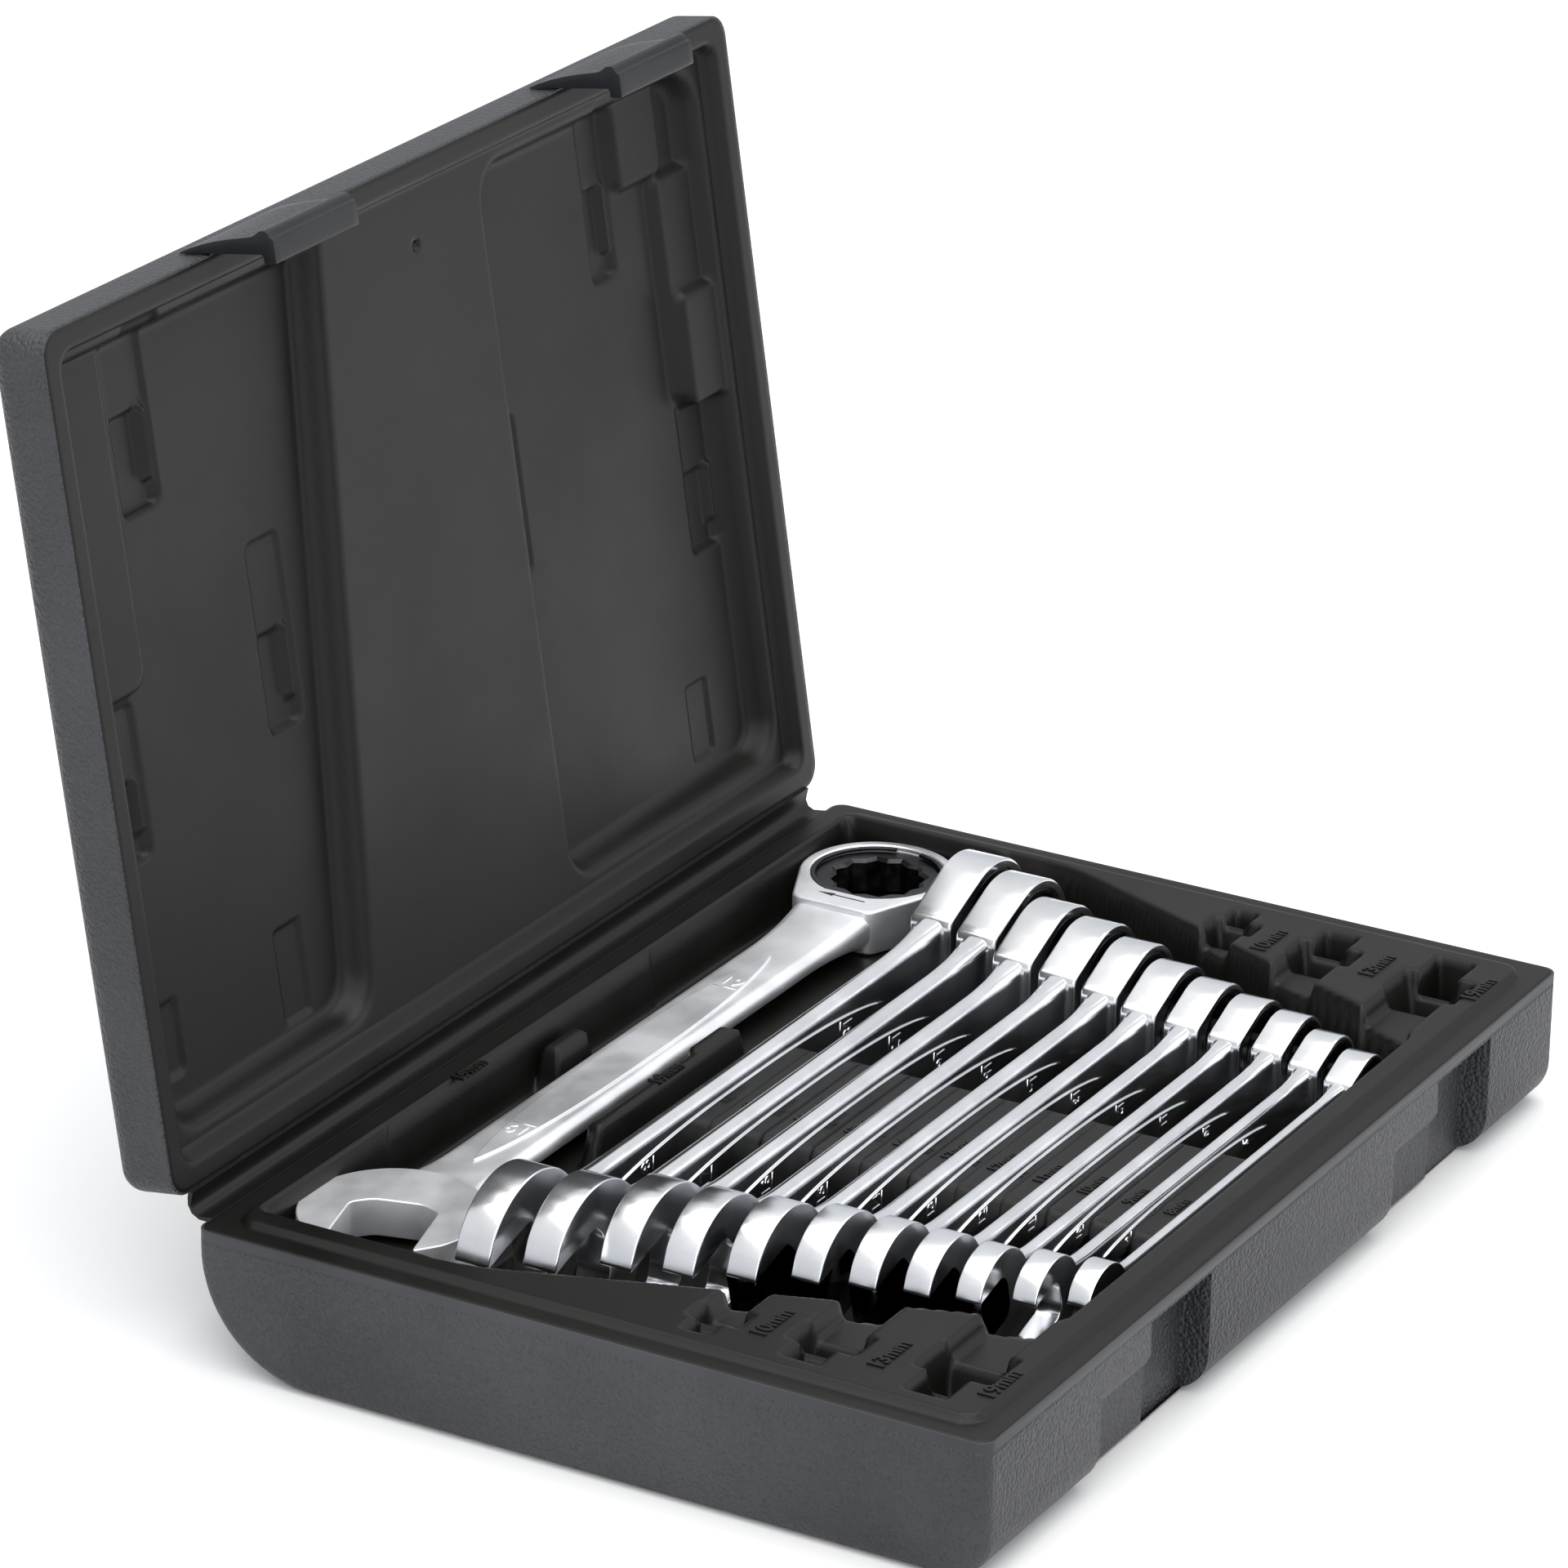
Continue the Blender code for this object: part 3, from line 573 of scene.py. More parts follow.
DARK_STEEL = waved(*finish("blackened_steel", (0.028, 0.028, 0.030), (0.055, 0.055, 0.058),
                           (0.30, 0.45), metallic=1.0, cloud_scale=300.0), 900.0, 0.03, 0.3)
SPRING_STEEL = waved(*finish("spring_steel", (0.035, 0.035, 0.037), (0.06, 0.06, 0.063),
                             (0.25, 0.4), metallic=1.0, cloud_scale=300.0), 900.0, 0.02, 0.2)
for plastic in (GRAINED, GRAINED_LID, GRIP, SMOOTH_EDGE, SATIN):
    plastic.node_tree.nodes["Principled BSDF"].inputs["Specular IOR Level"].default_value = 0.27


def stands_for(piece, body, cad_node):
    """The piece rides on a body in place of its CAD node, which is hidden."""
    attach(piece, body)
    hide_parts(cad_node)


# ---- base shell ----------------------------------------------------------------------------


def in_metres(move):
    return Matrix.Scale(MM, 4) @ move @ Matrix.Scale(1 / MM, 4)


def base_block(name, inset, top):
    """The base's outside, or its inside when inset, with its rounded bottom edges."""
    section = [(-HALF_D + inset, top)]
    section += arc((FRONT_RADIUS - HALF_D, FRONT_RADIUS), FRONT_RADIUS - inset, 180, 270, 10)
    section += arc((HALF_D - REAR_RADIUS, REAR_RADIUS), REAR_RADIUS - inset, 270, 360, 20)
    section += [(HALF_D - inset, top)]
    piece = side_prism(section, -HALF_W + inset, HALF_W - inset, name)
    shape = bmesh.new()
    shape.from_mesh(piece.data)
    ends = []
    for edge in shape.edges:
        at_end = all(abs(abs(v.co.x) - (HALF_W - inset) * MM) < 1e-6 for v in edge.verts)
        at_top = all(abs(v.co.z - top * MM) < 1e-6 for v in edge.verts)
        if at_end and not at_top and edge.calc_face_angle(0) > 0.5:
            ends.append(edge)
    bmesh.ops.bevel(shape, geom=ends, offset=(CORNER - 0.5 * inset) * MM, segments=6,
                    affect="EDGES", profile=0.5)
    bmesh.ops.recalc_face_normals(shape, faces=shape.faces)
    shape.to_mesh(piece.data)
    shape.free()
    return piece


def recess_span(middle):
    """Both ends of a latch recess and the start of its finger scoop, along X."""
    left, right = middle - LATCH_WIDTH / 2 - RECESS_LEFT, middle + LATCH_WIDTH / 2 + RECESS_RIGHT
    return left, right, right - FINGER_WIDE


def build_base_shell():
    """The outer skin, with a stepped recess in front for each latch."""
    shell = base_block("case_shell", 0.0, BASE_TOP - 0.25)
    shell.data.materials.append(GRAINED)
    hollow = base_block("case_hollow", WALL, BASE_TOP + 5)
    floor_y, finger_y = -HALF_D + RECESS_DEEP, -HALF_D + FINGER_DEEP
    top = BASE_TOP - 3.5
    for middle in LATCHES.values():
        left, right, finger = recess_span(middle)
        for start, deep in ((left, floor_y), (finger, finger_y)):
            cut_away(hollow, block((start - WALL, -HALF_D - 1, -1),
                                   (right + WALL, deep + WALL, top + WALL)))
    cut_away(shell, hollow)
    for middle in LATCHES.values():
        left, right, finger = recess_span(middle)
        recess = side_prism([(-HALF_D - 3, -2), (floor_y + 0.8, -2), (floor_y, top - 1.5),
                             (floor_y - 1.5, top), (-HALF_D - 3, top + 0.6)], left, right, "recess")
        wedge = side_prism([(-HALF_D - 3, -2), (finger_y, -2), (finger_y, top - 6),
                            (finger_y - 3.5, top - 0.2), (-HALF_D - 3, top + 0.2)],
                           finger, right, "wedge")
        catch_low = LID_RIM - LATCH_REACH + 3.6
        catch = side_prism([(floor_y + 2, top + 2), (floor_y - 4.4, top + 2),
                            (floor_y - 4.6, catch_low + 2.2), (floor_y - 3.6, catch_low),
                            (floor_y + 2, catch_low)], left - 1, left + 22.5, "catch")
        cut_away(recess, catch)
        cut_away(shell, recess)
        cut_away(shell, wedge)
    soften(shell, 0.7, 2)
    stands_for(shell, "case", "base_shell")


# ---- tray ----------------------------------------------------------------------------------

CAVITY_LEFT, CAVITY_RIGHT, CAVITY_REAR, SHELF_EDGE = -124.0, 127.0, 87.0, 45.4
CAVITY = [(-82.0, -82.0), (84.0, -82.0), (CAVITY_RIGHT, 26.0), (CAVITY_RIGHT, CAVITY_REAR),
          (CAVITY_LEFT, CAVITY_REAR), (CAVITY_LEFT, 36.0)]
ROW_TRENCH = [(-82.0, -82.0), (84.0, -82.0), (CAVITY_RIGHT, 26.0), (CAVITY_RIGHT, SHELF_EDGE),
              (CAVITY_LEFT, SHELF_EDGE), (CAVITY_LEFT, 36.0)]
LOW_DECK = LIP_TOP - 4.5
POCKET_FLOOR = 14.0
POCKETS = {"10": (-20.4, 11.0, 13.5), "13": (-44.5, 14.5, 17.0), "19": (-72.8, 16.0, 23.5)}
POCKET_OUTER = 125.0
PAD_TOP = 29.5
SADDLE = (-27.0, 31.0)
SADDLE_TOP = 24.0


def ring_place(size):
    return joint_spot(f"ratchet_{size:02d}_spin")


def handle_width(size):
    return 0.82 * size + 1.0


def handle_thick(size):
    return 0.2 * size + 1.4


def spots_along(edges):
    """Spans that need close lines: a wall starts at each edge and leans inwards."""
    return [(edge - 0.5, edge + 4.5) if sign > 0 else (edge - 4.5, edge + 0.5)
            for edge, sign in edges]


def tray_heights(x, y):
    """Heights over the base's inside: rim, lip, low decks, cavity, pads, trench, pockets."""
    z = np.full(x.shape, BASE_TOP - 0.6)
    rim = in_box(x, y, -HALF_W + 0.15, HALF_W - 0.15, -HALF_D + 0.15, HALF_D - 0.15, CORNER)
    z = build_up(z, rim, BASE_TOP, 0.6, 0.6, 10)
    z = build_up(z, in_box(x, y, -LIP_X, LIP_X, -LIP_Y, LIP_Y, 5.0), LIP_TOP, 1.5, 0.7, 12)
    shelf = node_box("wrench_19")[0].z - 0.3
    z = low_decks(z, x, y)
    z = carve(z, in_outline(x, y, CAVITY), shelf, 14.6, 1.6, 5)
    z = pads(z, x, y)
    z = carve(z, in_outline(x, y, ROW_TRENCH), 3.6, 15.0, 1.6, 5)
    z = pockets(z, x, y)
    return saddle(z, x, y)


def low_decks(z, x, y):
    """Level steps that lead from each pocket to the cavity."""
    for middle, width, length in POCKETS.values():
        start = POCKET_OUTER - length * 0.55
        for side in (-1, 1):
            low, high = sorted((side * start, side * 70.0))
            inside = in_box(x, y, low, high, middle - width / 2, middle + width / 2, 3.0)
            z = carve(z, inside, LOW_DECK, 4.5, 1.3, 10)
    return z


def pockets(z, x, y):
    """Each pocket is narrow at its outer end and wider, with leaning walls, at its inner end."""
    for middle, width, length in POCKETS.values():
        for side in (-1, 1):
            far = side * POCKET_OUTER
            low, high = sorted((far, side * (POCKET_OUTER - 0.55 * length)))
            narrow = in_box(x, y, low, high, middle - 0.34 * width, middle + 0.34 * width, 1.0)
            low, high = sorted((side * (POCKET_OUTER - 0.42 * length),
                                side * (POCKET_OUTER - length - 0.6)))
            wide = in_box(x, y, low, high, middle - 0.56 * width - 1.2,
                          middle + 0.54 * width, 1.6)
            z = carve(z, wide, POCKET_FLOOR + 1.2, 16.0, 1.0, 19)
            z = carve(z, narrow, POCKET_FLOOR, 18.0, 1.0, 5)
    return z


def pads(z, x, y):
    """Pads in front of and behind the flat wrench's handle."""
    half = handle_width(FLAT) / 2 + 0.8
    front = ring_place(FLAT).y - half
    rear = ring_place(FLAT).y + half
    z = build_up(z, in_box(x, y, -76, 37, CAVITY_REAR - 4.5, LIP_Y - 0.2, 0.2),
                 LIP_TOP - 0.2, 14.0, 1.4, 5)
    z = build_up(z, in_box(x, y, -18, 0, rear, LIP_Y - 2.4, 2.0), PAD_TOP, 10.0, 1.6, 8)
    bar = in_box(x, y, -46, 19, front - 9.5, front - 1.2, 2.5)
    ear = in_box(x, y, -2, 17, front - 7.0, front, 4.0)
    heel = in_box(x, y, -48, -34, front - 9.5, front - 2.5, 2.0)
    z = build_up(z, heel, PAD_TOP - 3.5, 7.0, 1.4, 20)
    z = build_up(z, bar, PAD_TOP - 0.6, 10.0, 1.4, 8)
    return build_up(z, ear, PAD_TOP, 10.5, 1.4, 8)


def saddle(z, x, y):
    """The block across the row, slotted for the handles."""
    rear = ring_place(FIRST_ROW).y + handle_thick(FIRST_ROW) / 2 + 3.4
    fore = ring_place(LAST_ROW).y - handle_thick(LAST_ROW) / 2 - 3.4
    ends = np.minimum(x - SADDLE[0], SADDLE[1] - x)
    walls = np.minimum(y - fore, rear - y) * 1.6
    z = build_up(z, np.minimum(ends, walls), SADDLE_TOP, 20.4, 2.2, 12)
    for size in range(LAST_ROW, FIRST_ROW + 1):
        spot = ring_place(size)
        half = handle_thick(size) / 2 + 0.4
        bottom = spot.z - handle_width(size) / 2 - 0.3
        slot = in_box(x, y, SADDLE[0] - 3, SADDLE[1] + 3, spot.y - half, spot.y + half, 0.5)
        z = carve(z, slot, bottom, 10.0, 0.5, 2)
    return z


def build_tray():
    """The base's inside as one skin, with its raised size labels."""
    across = [(-HALF_W, 1), (-LIP_X, 1), (HALF_W, -1), (LIP_X, -1), (CAVITY_LEFT, 1),
              (CAVITY_RIGHT, -1), (-POCKET_OUTER, 1), (POCKET_OUTER, -1), (SADDLE[0], 1),
              (SADDLE[1], -1), (-76, 1), (37, -1), (-18, 1), (0, -1), (-48, 1), (-34, -1),
              (17, -1), (19, -1), (-2, 1)]
    for _, _, length in POCKETS.values():
        for share in (0.42, 0.55, 1.0):
            across += [(-POCKET_OUTER + length * share, -1), (POCKET_OUTER - length * share, 1)]
            across += [(-POCKET_OUTER + length * share, 1), (POCKET_OUTER - length * share, -1)]
    xs = grid_lines(-HALF_W + 0.1, HALF_W - 0.1, 1.25, 0.64, spots_along(across))
    ys = grid_lines(-HALF_D + 0.1, HALF_D - 0.1, 0.74, 0.49,
                    [(SHELF_EDGE - 5, 60), (-93, -86), (80, 93)])
    x, y = rounded_grid(xs, ys, CORNER + 0.3)
    tray = moulded_skin("tray", x, y, tray_heights(x, y), SATIN, 2.5)
    labels = []
    for key, y_place in (("10", -32.0), ("13", -59.0), ("19", -84.0)):
        for x_place in (-113.5, 111.5):
            move = Matrix.Translation((x_place, y_place, LIP_TOP))
            labels.append(raised_words("label", key + "mm", 5.2, 0.5, SATIN, move, 0.02))
    for size in range(LAST_ROW, FIRST_ROW):
        gap = (ring_place(size).y + ring_place(size + 1).y) / 2
        move = Matrix.Translation((-5.0, gap + 0.2, SADDLE_TOP))
        labels.append(raised_words("label", f"{size}mm", 4.0, 0.4, SATIN, move, 0.02))
    front = ring_place(FLAT).y - handle_width(FLAT) / 2 - 0.8
    for spot in ((-13.0, front - 5.2, PAD_TOP - 0.6), (-42.0, CAVITY_REAR - 2.6, LIP_TOP - 0.1)):
        labels.append(raised_words("label", f"{FLAT}mm", 4.4, 0.5, SATIN,
                                   Matrix.Translation(spot), 0.02))
    stands_for(joined("tray_moulding", [tray] + labels), "case", "base_tray")


# ---- lid -----------------------------------------------------------------------------------


def build_lid_shell():
    """The lid's outer skin, with a rounded back edge and a shallow sunk panel."""
    shell = prism(rounded_rectangle(HALF_W, HALF_D, LID_CORNER, 10), LID_RIM + 0.2, LID_TOP,
                  "lid_cover")
    shape = bmesh.new()
    shape.from_mesh(shell.data)
    rim = [edge for edge in shape.edges
           if all(abs(v.co.z - LID_TOP * MM) < 1e-6 for v in edge.verts)
           and edge.calc_face_angle(0) > 0.5]
    bmesh.ops.bevel(shape, geom=rim, offset=LID_RADIUS * MM, segments=8, affect="EDGES",
                    profile=0.5)
    shape.to_mesh(shell.data)
    shape.free()
    shell.data.materials.append(GRAINED_LID)
    hollow = prism(rounded_rectangle(HALF_W - WALL, HALF_D - WALL, LID_CORNER - WALL, 10),
                   LID_RIM - 5, LID_TOP - WALL, "lid_hollow")
    cut_away(shell, hollow)
    panel = prism(rounded_rectangle(HALF_W - 18, HALF_D - 18, 9, 8), LID_TOP - 0.7, LID_TOP + 2,
                  "lid_panel")
    cut_away(shell, panel)
    soften(shell, 0.6, 2)
    shell.data.transform(in_metres(OPEN_LID))
    stands_for(shell, "lid", "lid_shell")


# Edges of the raised band across the lid's inside; its left edge leans.
BAND_FOOT, BAND_HEAD, BAND_RIGHT = -49.7, -27.0, 31.6


def lid_pair(z, x, s, x0, x1, s0, s1, deep=1.15):
    """A shallow relief of two steps, with a rounded rib beside the lower one."""
    middle = s0 + 0.52 * (s1 - s0)
    z = carve(z, in_box(x, s, x0, x1, s0, s1, 2.5), z - 0.8, 0.8, 0.6, 15)
    z = carve(z, in_box(x, s, x0, x1 - 1.2, s0, middle, 2.0), z - deep, deep, 0.6, 20)
    rib = in_box(x, s, x1 - 5.0, x1 - 0.6, s0 + 4.5, middle + 1, 2.1)
    return build_up(z, rib, z + 2.6, 2.6, 1.4, 10)


def lid_depths(x, s):
    """Heights over the closed lid's inside, down into the lid; s runs from the hinge edge."""
    z = np.zeros(x.shape) - 0.5
    size = 2 * HALF_D
    z = build_up(z, in_box(x, s, -HALF_W + 0.15, HALF_W - 0.15, 0.15, size - 0.15, 5.4), 0.0,
                 0.5, 0.5, 10)
    room = in_box(x, s, -HALF_W + 4.8, HALF_W - 4.8, 4.8, size - 4.8, 5.0)
    z = carve(z, room, -4.0, 4.0, 1.3, 10)
    left = [(-126.5, 8.5), (BAND_FOOT + 1.2, 8.5), (BAND_HEAD, size + 8), (-126.5, size + 8)]
    inside = np.minimum(in_outline(x, s, left, 9.0), size - 7.5 - s)
    z = carve(z, inside, -10.2, 6.2, 2.6, 22)
    right = in_box(x, s, BAND_RIGHT, 126.5, 8.5, size - 8.5, 11.0)
    z = carve(z, right, -10.2, 6.2, 2.6, 22)
    z = lid_reliefs(z, x, s)
    return carve(z, in_round(x, s, 5.4, 166.0, 1.5), -7.5, 3.5, 0.5, 5)


def lid_reliefs(z, x, s):
    """Clearances for the wrenches' heads and the steps moulded around them."""
    z = build_up(z, in_box(x, s, -128, -105.5, 101.5, 180.5, 6.0), -7.9, 2.3, 1.0, 12)
    for spot in ((-103.5, -89.5, 137, 179), (-64, -51, 77, 120), (-122, -110, 67, 101),
                 (33.5, 43, 80, 118), (82, 93, 135, 178), (109, 122.5, 63, 101)):
        z = lid_pair(z, x, s, *spot)
    for spot in ((-74, -63.5, 15, 37), (-121, -110.5, 19, 36), (98, 108, 16, 35), (33, 39, 20, 34)):
        z = carve(z, in_box(x, s, *spot, 1.5), -11.0, 0.8, 0.5, 15)
    z = build_up(z, in_box(x, s, 92, 115, 152, 181, 5.0), -7.6, 2.6, 1.8, 25)
    z = build_up(z, in_box(x, s, 106.5, 131, 99, 155, 4.0), -7.4, 2.8, 1.8, 20)
    return build_up(z, in_box(x, s, 108.5, 131, 97, 127, 4.0), -5.0, 2.4, 1.6, 20)


def build_lid_liner():
    """The lid's inside as one skin."""
    step = 0.72
    xs = np.arange(-HALF_W + 0.1, HALF_W, step)
    ss = np.arange(0.1, 2 * HALF_D, step)
    xs[-1], ss[-1] = HALF_W - 0.1, 2 * HALF_D - 0.1
    x, s = rounded_grid(xs, ss, LID_CORNER + 0.2)
    turned = OPEN_LID @ Matrix.Translation((0, HALF_D, LID_RIM)) @ Matrix.Diagonal((1, -1, -1, 1))
    liner = moulded_skin("lid_moulding", x, s, lid_depths(x, s), SATIN, 2.0, turned)
    stands_for(liner, "lid", "lid_liner")


# ---- latches and hinge -----------------------------------------------------------------------


def build_latch(side, middle):
    """A wedge that thickens from the lid's wall to a rolled lip, a flat tip and a hook."""
    inner = -HALF_D - 0.6
    low = LID_RIM - LATCH_REACH
    half = LATCH_WIDTH / 2
    end_strip = 2.2
    outline = [(inner + 0.3, LID_RIM + 7.0), (inner + 0.1, LID_RIM + 0.4), (inner + 0.1, low + 3.0),
               (inner + 2.2, low + 3.0), (inner + 2.2, low + 0.2), (inner + 1.6, low),
               (inner - 3.2, low), (inner - 3.4, low + 0.9), (inner - 4.3, low + 1.1),
               (inner - 4.9, low + 1.9), (inner - 4.9, low + 3.2), (inner - 4.2, low + 4.2),
               (inner - 3.6, low + 5.4), (inner - 3.3, low + 8.0), (inner - 3.0, low + 11.0),
               (inner - 2.5, low + 14.5), (inner - 1.8, low + 18.0), (inner - 0.9, low + 21.3),
               (inner + 0.1, low + 24.0)]
    section = anticlockwise(round_corners(outline, 0.7, 3, 14))
    flap = side_prism(section, middle - half, middle + half, "latch_" + side + "_flap")
    shape = bmesh.new()
    shape.from_mesh(flap.data)
    for cut in (half - end_strip, end_strip - half):
        geometry = shape.verts[:] + shape.edges[:] + shape.faces[:]
        bmesh.ops.bisect_plane(shape, geom=geometry, plane_co=((middle + cut) * MM, 0, 0),
                               plane_no=(1, 0, 0))
    for face in shape.faces:
        centre = face.calc_center_median() / MM
        on_grip = abs(centre.x - middle) < half - end_strip and low + 6.0 < centre.z < low + 21.5
        face.material_index = 1 if on_grip and centre.y < inner - 0.7 else 0
    shape.to_mesh(flap.data)
    shape.free()
    flap.data.materials.append(SMOOTH_EDGE)
    flap.data.materials.append(GRIP)
    soften(flap, 0.35, 3, 50)
    flap.data.transform(in_metres(OPEN_LID))
    stands_for(flap, "latch_" + side, "latch_" + side)


def build_hinge_web():
    """The thin strip between base and lid, fixed in place where the hinge leaves were."""
    inset = HALF_W - 6.0
    knots = [(HALF_D - 0.4, BASE_TOP - 0.7), (HALF_D + 1.2, BASE_TOP - 0.9),
             (HALF_D + 3.0, BASE_TOP - 1.0), (HALF_D + 4.6, BASE_TOP - 0.2),
             (HALF_D + 5.4, BASE_TOP + 1.4), (HALF_D + 5.3, BASE_TOP + 3.0),
             (HALF_D + 5.0, BASE_TOP + 4.6)]
    path = np.array(knots)
    along = np.gradient(path, axis=0)
    normal = np.stack([along[:, 1], -along[:, 0]], 1)
    normal /= np.linalg.norm(normal, axis=1, keepdims=True)
    thick = np.array([0.55, 0.5, 0.35, 0.3, 0.35, 0.5, 0.55])[:, None]
    section = np.concatenate([path + normal * thick, (path - normal * thick)[::-1]])
    section = anticlockwise([tuple(p) for p in section])
    web = side_prism(section, -inset, inset, "hinge_web")
    web.data.materials.append(SATIN)
    shade_by_angle(web, 50)
    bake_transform(web)
    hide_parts("hinge_leaf_base", "hinge_leaf_lid")


# ---- wrenches: built flat, ring at the origin, handle towards -X ------------------------------


def wrench_move(size):
    spot = Matrix.Translation(ring_place(size))
    return spot if size == FLAT else spot @ Matrix.Rotation(math.radians(90), 4, "X")


class Measures:
    """The sizes of one wrench, from its solid and its nut size."""

    def __init__(self, size):
        low, high = node_box(f"wrench_{size:02d}")
        self.size = size
        self.ring = 0.92 * size + 0.8
        self.length = high.x - low.x + 0.3
        self.ring_half = (0.36 * size + 4.0) / 2
        self.gear = 0.78 * size + 0.5
        self.open = 1.03 * size + 0.6
        self.open_half = (0.3 * size + 2.9) / 2
        self.jaw_x = -(self.length - self.ring - self.open)
        self.width = handle_width(size)
        self.thick = handle_thick(size)
        self.neck = 0.62 * self.width
        self.shoulder = 1.22 * self.ring
        self.panel_x = -(self.length / 2 - self.ring) - 0.42 * size


def ring_outline(m):
    """Round in front, with straight shoulders that narrow to the neck."""
    corner = math.hypot(m.shoulder, m.neck)
    at = math.degrees(math.atan2(m.neck, -m.shoulder) - math.acos(m.ring / corner))
    outline = arc((0, 0), m.ring, -at, at, 84)
    low, high = outline[0], outline[-1]
    corners = [(-m.shoulder, m.neck), (-m.shoulder, -m.neck)]
    side = [tuple(Vector(high).lerp(Vector(corners[0]), t)) for t in (0.25, 0.5, 0.75)]
    other = [tuple(Vector(corners[1]).lerp(Vector(low), t)) for t in (0.25, 0.5, 0.75)]
    return round_corners(outline + side + corners + other, 2.2, 4, 12)


def build_ring_head(m, material):
    """The ring's skin, which closes through the stepped bore for the ratchet insert."""
    outline = np.array(ring_outline(m))
    turn = np.arctan2(outline[:, 1], outline[:, 0])
    circle = np.stack([np.cos(turn), np.sin(turn)], 1)
    normals = outline_normals(outline)
    h = m.ring_half
    fillet = 0.45 + 0.012 * m.size
    bore, counter, lip = m.gear + 0.2, m.gear + 0.45, m.gear - 0.6
    step = h - 1.25
    rings = []

    def ring(points, z):
        rings.append(np.column_stack([points, np.full(len(points), z)]))

    def inner(radius, z):
        ring(circle * radius, z)

    inner(counter, h - 0.3)
    inner(counter + 0.3, h)
    quarter = np.radians(np.linspace(0, 90, 6))
    for face, angles in ((1, quarter[::-1]), (-1, quarter)):
        for a in angles:
            ring(outline - normals * fillet * (1 - math.cos(a)),
                 face * (h - fillet * (1 - math.sin(a))))
    inner(lip + 0.3, -h)
    inner(lip, -h + 0.3)
    inner(lip, -h + 1.0)
    inner(bore, -h + 1.0)
    inner(bore, step)
    inner(counter, step)
    return ring_loft("ring_head", rings[::-1], material)


def open_outline(m):
    """A disc with a slot for the nut, turned 15 degrees, and a flat-cornered seat."""
    tilt = math.radians(15)
    out = np.array([-math.cos(tilt), -math.sin(tilt)])
    side = np.array([math.sin(tilt), -math.cos(tilt)])
    half = m.size / 2 + 0.15
    reach = math.sqrt(m.open ** 2 - half ** 2)
    seat = -0.21 * m.size
    jaw = [(reach, half), (-0.06 * m.size, half), (seat, 0.55 * half), (seat, -0.55 * half),
           (-0.06 * m.size, -half), (reach, -half)]
    jaw = [tuple(out * u + side * v) for u, v in jaw]
    start = math.degrees(math.atan2(jaw[-1][1], jaw[-1][0]))
    end = math.degrees(math.atan2(jaw[0][1], jaw[0][0]))
    while end > start:
        end -= 360
    back = arc((0, 0), m.open, start, end, 64)[4:-4]
    outline = anticlockwise([(x + m.jaw_x, y) for x, y in jaw + back])
    return round_corners(outline, max(1.1, 0.08 * m.size), 6, 18)


def build_handle(m, material):
    """A bar with rounded edges that thickens and widens into both heads."""
    start = -m.shoulder + 2.0
    end = m.jaw_x + 0.45 * m.open
    stations = np.concatenate([np.linspace(0, 1.4 * m.size, 16),
                               np.linspace(1.4 * m.size, start - end - 1.6 * m.size, 14)[1:-1],
                               np.linspace(start - end - 1.6 * m.size, start - end, 16)])
    rings = []
    for run in stations:
        x = start - run
        left = start - end - run
        near_ring = max(0.0, 1 - run / (1.3 * m.size))
        near_open = max(0.0, 1 - left / (1.35 * m.size))
        width = m.width + (2 * m.neck - m.width) * near_ring ** 1.6
        width += (1.55 * m.width - m.width) * near_open ** 2
        thick = m.thick + (1.6 * m.ring_half - m.thick) * near_ring ** 1.9
        thick += (1.9 * m.open_half - m.thick) * near_open ** 2.4
        round_off = min(0.47 * thick, 0.47 * m.thick + 0.3)
        section = np.array(rounded_rectangle(thick / 2, width / 2, round_off, 6))
        deep = section[:, 0] * (1 - 0.09 * (section[:, 1] * 2 / width) ** 2)
        rings.append(np.column_stack([np.full(len(section), x), section[:, 1], deep]))
    return stacked("handle", rings, material)


def build_panel(m, side, material):
    """A long raised panel on the handle's face."""
    half = 0.257 * m.length
    middle = m.panel_x
    width = 0.31 * m.width
    across = np.linspace(-1, 1, 41)
    upper = [(middle + half * u, width * (1 - abs(u) ** 2.6) ** 0.8) for u in across]
    outline = upper[::-1] + [(x, -y) for x, y in upper[1:-1]]
    face = m.thick / 2
    move = Matrix.Identity(4) if side > 0 else Matrix.Rotation(math.pi, 4, "X")
    return rounded_plate("panel", outline, face - 0.6, face + 0.38, 0.26, material, move, 3, False)


def build_figures(m, material):
    """The nut size near both ends of the panel, underlined."""
    face = m.thick / 2 + 0.3
    height = 0.30 * m.size
    marks = []
    for end, turn in ((1, -90), (-1, 90)):
        place = (Matrix.Translation((m.panel_x + end * 0.185 * m.length, 0, face))
                 @ Matrix.Rotation(math.radians(turn), 4, "Z"))
        marks.append(raised_words("figures", str(m.size), height, 0.35, material, place, 0.01))
        bar = [(-0.5 * height, -0.6 * height), (0.5 * height, -0.6 * height),
               (0.5 * height, -0.5 * height), (-0.5 * height, -0.5 * height)]
        marks.append(rounded_plate("underline", bar, -0.1, 0.2, 0.05, material, place, 1, False))
    return marks


def build_direction_mark(m, material):
    """An arrow that shows which way the ring drives."""
    x = -m.ring * 0.86 - 0.08 * m.size
    long = 0.42 * m.ring
    arrow = [(-0.25, -long), (0.25, -long), (0.25, 0.35 * long), (0.9, 0.3 * long), (0, long),
             (-0.9, 0.3 * long), (-0.25, 0.35 * long)]
    outline = [(x + 0.05 * m.size * a, b * 0.8) for a, b in arrow]
    return rounded_plate("direction", outline, m.ring_half - 0.1, m.ring_half + 0.05, 0.03,
                         material, None, 1, False)


